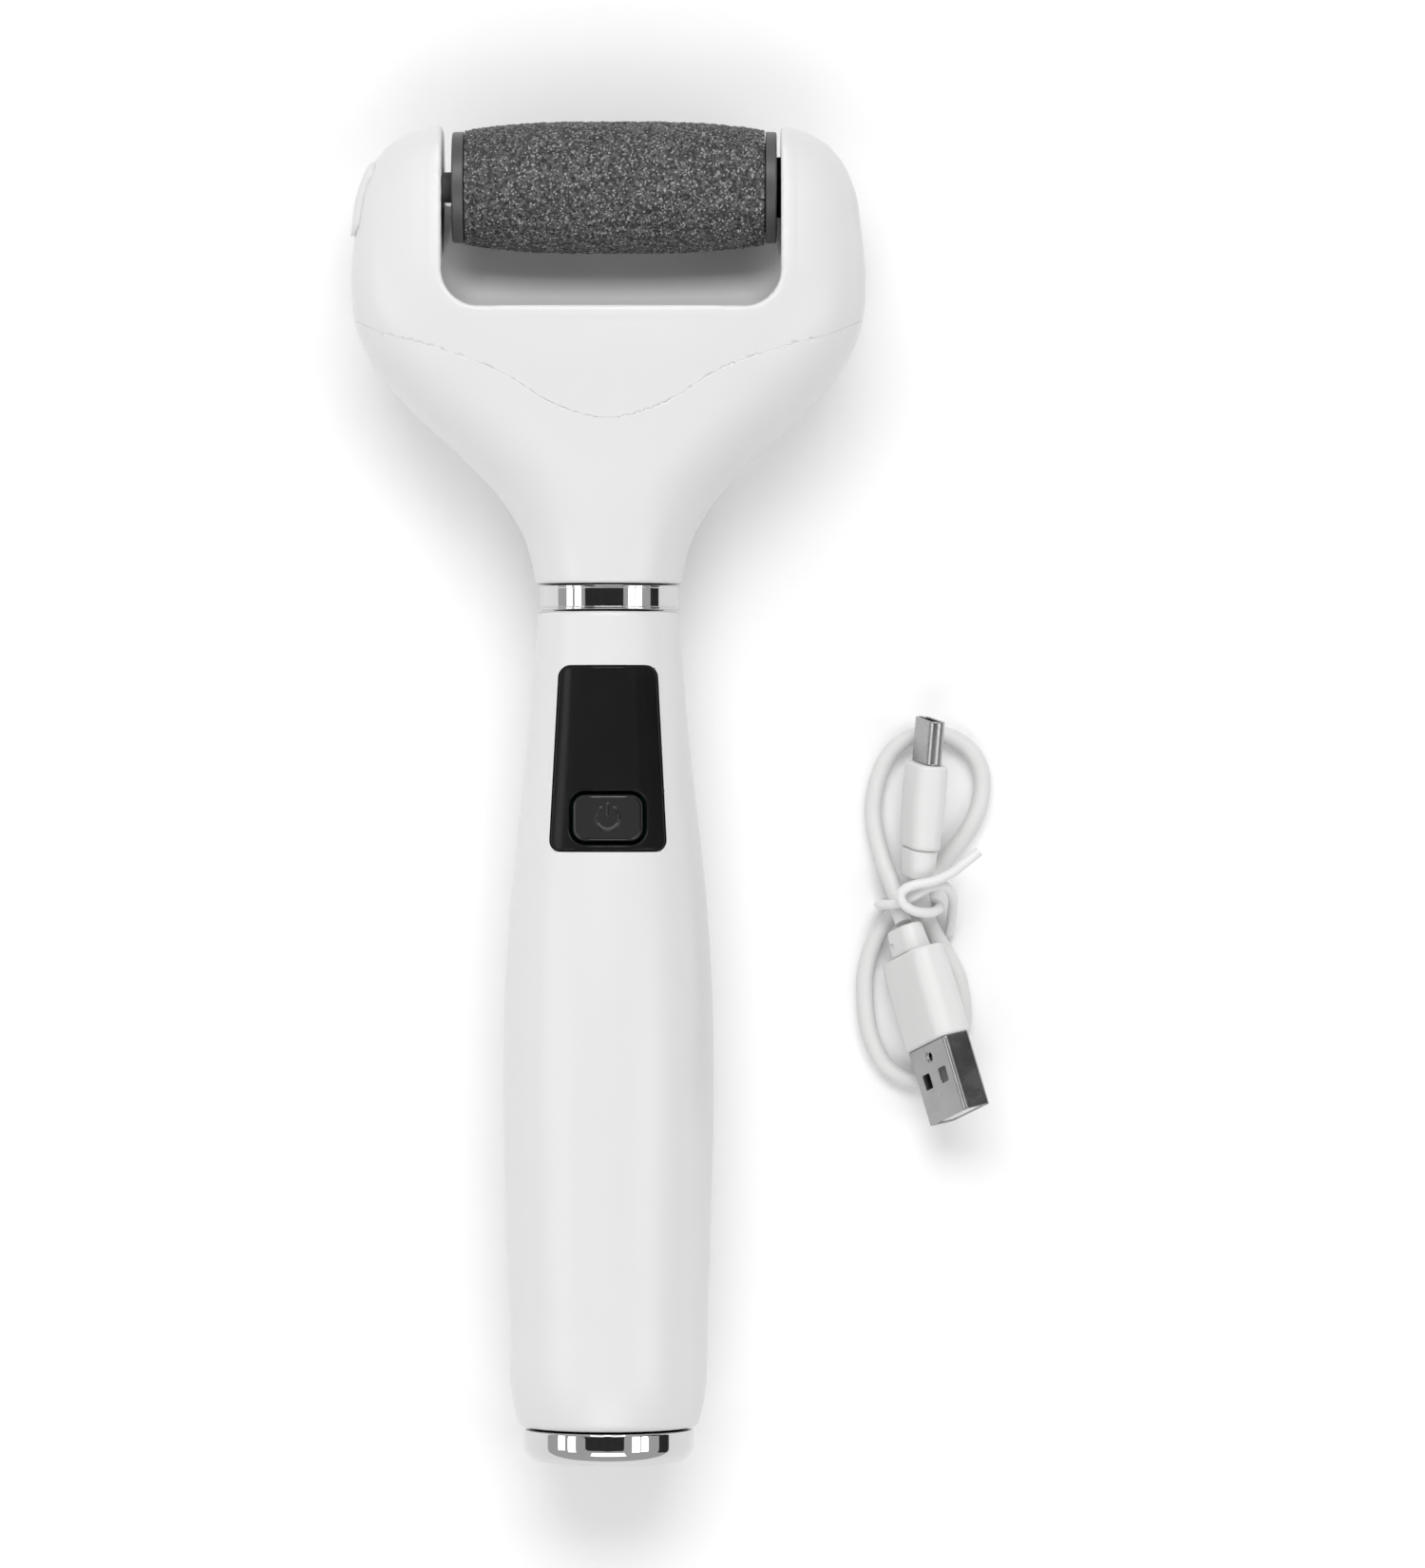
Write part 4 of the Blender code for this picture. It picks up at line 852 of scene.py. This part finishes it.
def make_roller():
    centre = (0.0, AXLE_Y, AXLE_Z)
    left, right = sleeve_low[0], sleeve_high[0]
    middle, half = (left + right) / 2, (right - left) / 2
    radius, end_radius, bore = (sleeve_high[1] - sleeve_low[1]) / 2, 8.5, 6.9
    rows, segments, barrel = 190, 420, 3.2
    profile = [(left, bore)]
    for k in range(rows + 1):
        t = 2 * k / rows - 1
        crown = (radius - end_radius) * (1 - abs(t) ** barrel)
        profile.append((middle + half * t, end_radius + crown))
    profile.append((right, bore))
    sleeve = lathe("abrasive_sleeve_grit", profile, "X", centre, segments)
    roughen(sleeve, centre, rows + 3, segments, end_radius - 0.5)
    add(sleeve, "roller", "grit", "abrasive_sleeve")
    # Each rim: its name, outer and inner end, bore, and the way from its outer end to its inner one
    rims = (
        ("left_rim_ring", left_rim_low[0], left_rim_high[0], 2.6, 1),
        ("right_rim_ring", right_rim_high[0], right_rim_low[0], 6.9, -1),
    )
    rim_radius, lip_radius, spigot_radius = 8.3, 8.36, 7.6
    for name, outer_end, inner_end, bore, way in rims:
        lip, tip = inner_end + way * 0.12, inner_end + way * 0.2
        corners = (
            (outer_end, bore, 0.1), (outer_end, rim_radius, 0.3), (lip, lip_radius, 0.06),
            (lip, spigot_radius, 0.05), (tip, spigot_radius, 0), (tip, bore, 0),
        )
        rim = lathe(name, rounded_profile(corners), "X", centre, 200)
        sharp_edges(rim, 35)
        add(rim, "roller", "rim_plastic", name.replace("_ring", ""))


# ---------------------------------------------------------------- the charging lead

CORD_ROUTE = (
    (44.55, -19.9, 6.3), (43.7, -17.2, 5.2), (42.9, -14.2, 3.9), (41.3, -9.8, 2.1), (40.1, -4.2, 1.5),
    (40.5, 0.7, 1.5), (42.2, 5.2, 1.5), (44.9, 7.8, 1.5), (48.0, 8.8, 1.5), (51.1, 8.5, 1.5),
    (54.1, 6.9, 1.5), (56.0, 4.3, 1.5), (56.6, 1.1, 1.5), (55.9, -2.8, 1.5), (53.8, -6.8, 1.5),
    (51.3, -9.8, 1.5), (49.6, -12.1, 1.5), (47.7, -14.6, 2.6), (45.6, -17.0, 3.1), (42.4, -19.4, 1.7),
    (40.1, -23.1, 1.5), (38.9, -27.5, 1.5), (38.8, -31.9, 1.5), (39.4, -36.3, 1.5), (41.0, -40.3, 1.5),
    (43.1, -42.6, 1.5), (46.2, -43.8, 1.5), (49.8, -42.6, 1.5), (52.4, -39.2, 1.5), (53.7, -34.6, 1.5),
    (53.0, -28.4, 1.5), (51.1, -24.6, 1.5), (49.3, -21.6, 2.8), (47.9, -18.6, 4.5), (47.1, -15.9, 5.7),
    (46.65, -13.5, 6.0),
)
TIE_ROUTE = (
    (51.6, -21.6, 0.9), (52.0, -18.4, 3.0), (51.9, -15.6, 6.4), (50.4, -14.2, 8.4), (47.9, -14.7, 8.9),
    (45.4, -16.2, 8.7), (43.1, -17.0, 8.0), (41.0, -17.1, 5.8), (41.2, -17.0, 2.7), (43.6, -16.8, 0.9),
    (46.6, -16.7, 0.9), (49.3, -17.0, 2.4), (50.0, -17.6, 5.3), (48.7, -18.3, 8.1), (46.3, -18.1, 9.7),
    (44.4, -16.9, 10.5), (44.1, -15.3, 10.8), (45.7, -14.2, 11.0), (48.7, -13.6, 10.8), (51.5, -12.4, 9.8),
    (53.6, -10.9, 8.9), (55.9, -9.1, 8.3),
)
CORD_DIAMETER, TIE_DIAMETER = 2.6, 1.5


def smooth_route(points, spacing):
    """Evenly spaced points on a smooth curve through a listed route."""
    route = np.array(points, float)
    ends = [2 * route[0] - route[1], *route, 2 * route[-1] - route[-2]]
    fine = []
    for a, b, c, d in zip(ends, ends[1:], ends[2:], ends[3:]):
        square, cube = 2 * a - 5 * b + 4 * c - d, 3 * b - a - 3 * c + d
        for t in np.linspace(0, 1, 24, endpoint=False):
            fine.append(0.5 * (2 * b + (c - a) * t + square * t**2 + cube * t**3))
    fine = np.array([*fine, route[-1]])
    along = np.concatenate([[0], np.cumsum(np.linalg.norm(np.diff(fine, axis=0), axis=1))])
    wanted = np.linspace(0, along[-1], max(2, round(along[-1] / spacing) + 1))
    return np.stack([np.interp(wanted, along, fine[:, k]) for k in range(3)], axis=1)


def tube(name, points, diameter):
    curve = bpy.data.curves.new(name, "CURVE")
    curve.dimensions = "3D"
    curve.bevel_depth = diameter / 2 * MM
    curve.bevel_resolution = 6
    curve.use_fill_caps = True
    line = curve.splines.new("POLY")
    line.points.add(len(points) - 1)
    for spot, p in zip(line.points, points):
        spot.co = (p[0] * MM, p[1] * MM, p[2] * MM, 1.0)
    line.use_smooth = True
    obj = bpy.data.objects.new(name, curve)
    bpy.context.scene.collection.objects.link(obj)
    return obj


def plug_matrix(spot, pose):
    """Where a plug drawn along +Y lies: rolled about Y, tipped up about X, then turned about Z."""
    roll, tip, turn = (math.radians(angle) for angle in pose)
    turned = Euler((tip, roll, turn), "YXZ").to_matrix().to_4x4()
    return Matrix.Translation([v * MM for v in spot]) @ turned


def rounded_bar(x, z, width, height, radius):
    """A bar along Y with rounded corners, as distance across it."""
    dx = np.abs(x) - width / 2 + radius
    dz = np.abs(z) - height / 2 + radius
    return np.hypot(np.maximum(dx, 0), np.maximum(dz, 0)) + np.minimum(np.maximum(dx, dz), 0) - radius


def overmould_field(width, height, radius, length, taper):
    """The grip of a plug, which swells a little in the middle and narrows towards its cord."""

    def field(x, y, z):
        along = np.clip(-y / length, 0, 1)
        swell = taper * np.sin(math.pi * along) - 0.25 * along
        return both(rounded_bar(x, z, width, height, radius) - swell, slab(y, -length, 0.0), 0.55)

    return field


def relief_field(width, height, radius, start, end, slot):
    """A strain relief, with one notch near an end of each wide face if the slot has any width."""

    def field(x, y, z):
        share = (y - start) / (end - start)
        body = both(rounded_bar(x, z, width, height, radius) + 0.35 * (1 - share), slab(y, start, end), 0.4)
        cuts = np.abs(np.abs(z) - height / 2) - 0.55
        middle = (start + end) / 2 + 0.3
        notch = both(np.maximum(cuts, slab(x, *slot)), np.abs(y - middle) - 0.4, 0.1)
        return without(body, notch, 0.1) if slot[1] > slot[0] else body

    return field


def shell_field(width, height, radius, length, holes):
    """A folded metal plug shell, open at its far end, with square holes and dimples in its wide faces."""
    sheet, back = 0.35, 1.2
    hole_x, hole_y, hole_size = 2.6, 5.3, 2.3
    dimple_y, dimple_lift, dimple_radius = 1.95, 0.75, 1.15

    def field(x, y, z):
        outer = both(rounded_bar(x, z, width, height, radius), slab(y, 0.05, length), 0.1)
        inside = rounded_bar(x, z, width - 2 * sheet, height - 2 * sheet, max(radius - sheet, 0.12))
        solid = without(outer, np.maximum(inside, back - y), 0.08)
        if holes:
            for side in (-1, 1):
                square = rounded_bar(x - side * hole_x, y - hole_y, hole_size, hole_size, 0.25)
                solid = without(solid, square, 0.08)
            above = np.abs(z) - height / 2 - dimple_lift
            dimple = np.sqrt(x**2 + (y - dimple_y) ** 2 + above**2) - dimple_radius
            solid = without(solid, dimple, 0.12)
        return solid

    return field


def bar_field(width, height, radius, start, end, lift):
    def field(x, y, z):
        return both(rounded_bar(x, z - lift, width, height, radius), slab(y, start, end), 0.1)

    return field


def plug_piece(name, field, reach, start, end, voxel, place, slot, *replaced):
    piece = solid_mesh(name, field, (-reach, start, -reach), (reach, end, reach), voxel)
    piece.data.transform(place)
    return add(piece, "charging_lead", slot, *replaced)


def make_plug(prefix, place, shell, body, relief, holes, slot):
    """A plug's case, grip and strain relief, each given as (width, height, corner, length)."""
    reach = max(shell[0], body[0]) / 2 + 0.4
    case = shell_field(*shell, holes)
    plug_piece(prefix + "_case", case, reach, 0, shell[3], 0.13, place, "steel", prefix + "_shell")
    grip, grip_end = overmould_field(*body, 0.18), -body[3]
    plug_piece(
        prefix + "_grip", grip, reach, grip_end, 0, 0.24, place, "cord_white", prefix + "_overmould"
    )
    start, end = grip_end - relief[3], grip_end - 0.05
    sleeve = relief_field(*relief[:3], start, end, slot)
    plug_piece(
        prefix + "_relief", sleeve, reach, start, end, 0.16, place, "cord_white",
        prefix + "_strain_relief",
    )


def make_cord():
    route = smooth_route(CORD_ROUTE, 0.6)
    length = float(np.linalg.norm(np.diff(route, axis=0), axis=1).sum()) * MM
    cord = tube("charging_cord_run", route, CORD_DIAMETER)
    add(cord, "charging_lead", "cord_white", "charging_cord")
    return cord, route, length


def make_lead():
    cord, route, length = make_cord()
    # Each plug lies at its junction, by its roll, tip and turn
    place = plug_matrix((48.0, 4.3, 7.7), (-72.0, 6.0, -4.6))
    case, grip, relief = (8.25, 2.5, 1.2, 6.7), (9.3, 4.9, 2.2, 13.0), (7.6, 4.4, 2.0, 4.5)
    make_plug("usb_c", place, case, grip, relief, False, (0.0, 0.0))
    start, end = 1.6, 5.6
    insert = bar_field(7.0, 1.25, 0.6, start, end, 0.0)
    plug_piece("usb_c_insert", insert, 4.4, start, end, 0.15, place, "black_plastic")
    place = plug_matrix((49.7, -37.8, 8.9), (61.0, 8.0, 180 + 16.4))
    case, grip, relief = (12.0, 4.5, 0.6, 11.6), (13.4, 6.0, 2.4, 14.0), (7.6, 4.4, 2.0, 4.2)
    make_plug("usb_a", place, case, grip, relief, True, (1.3, 2.5))
    start, end = 1.5, 11.4
    tongue = bar_field(10.6, 1.9, 0.2, start, end, -0.75)
    plug_piece("usb_a_blade", tongue, 6.0, start, end, 0.2, place, "tie_white", "usb_a_tongue")
    tie = tube("cord_tie_wire", smooth_route(TIE_ROUTE, 0.5), TIE_DIAMETER)
    add(tie, "charging_lead", "tie_white", "cord_tie")
    tuple(float(v) * MM for v in route[0])


make_camera()
dress_frame()
make_lead()
make_stage()
make_head()
make_handle()
make_ring()
make_cap()
make_roller()
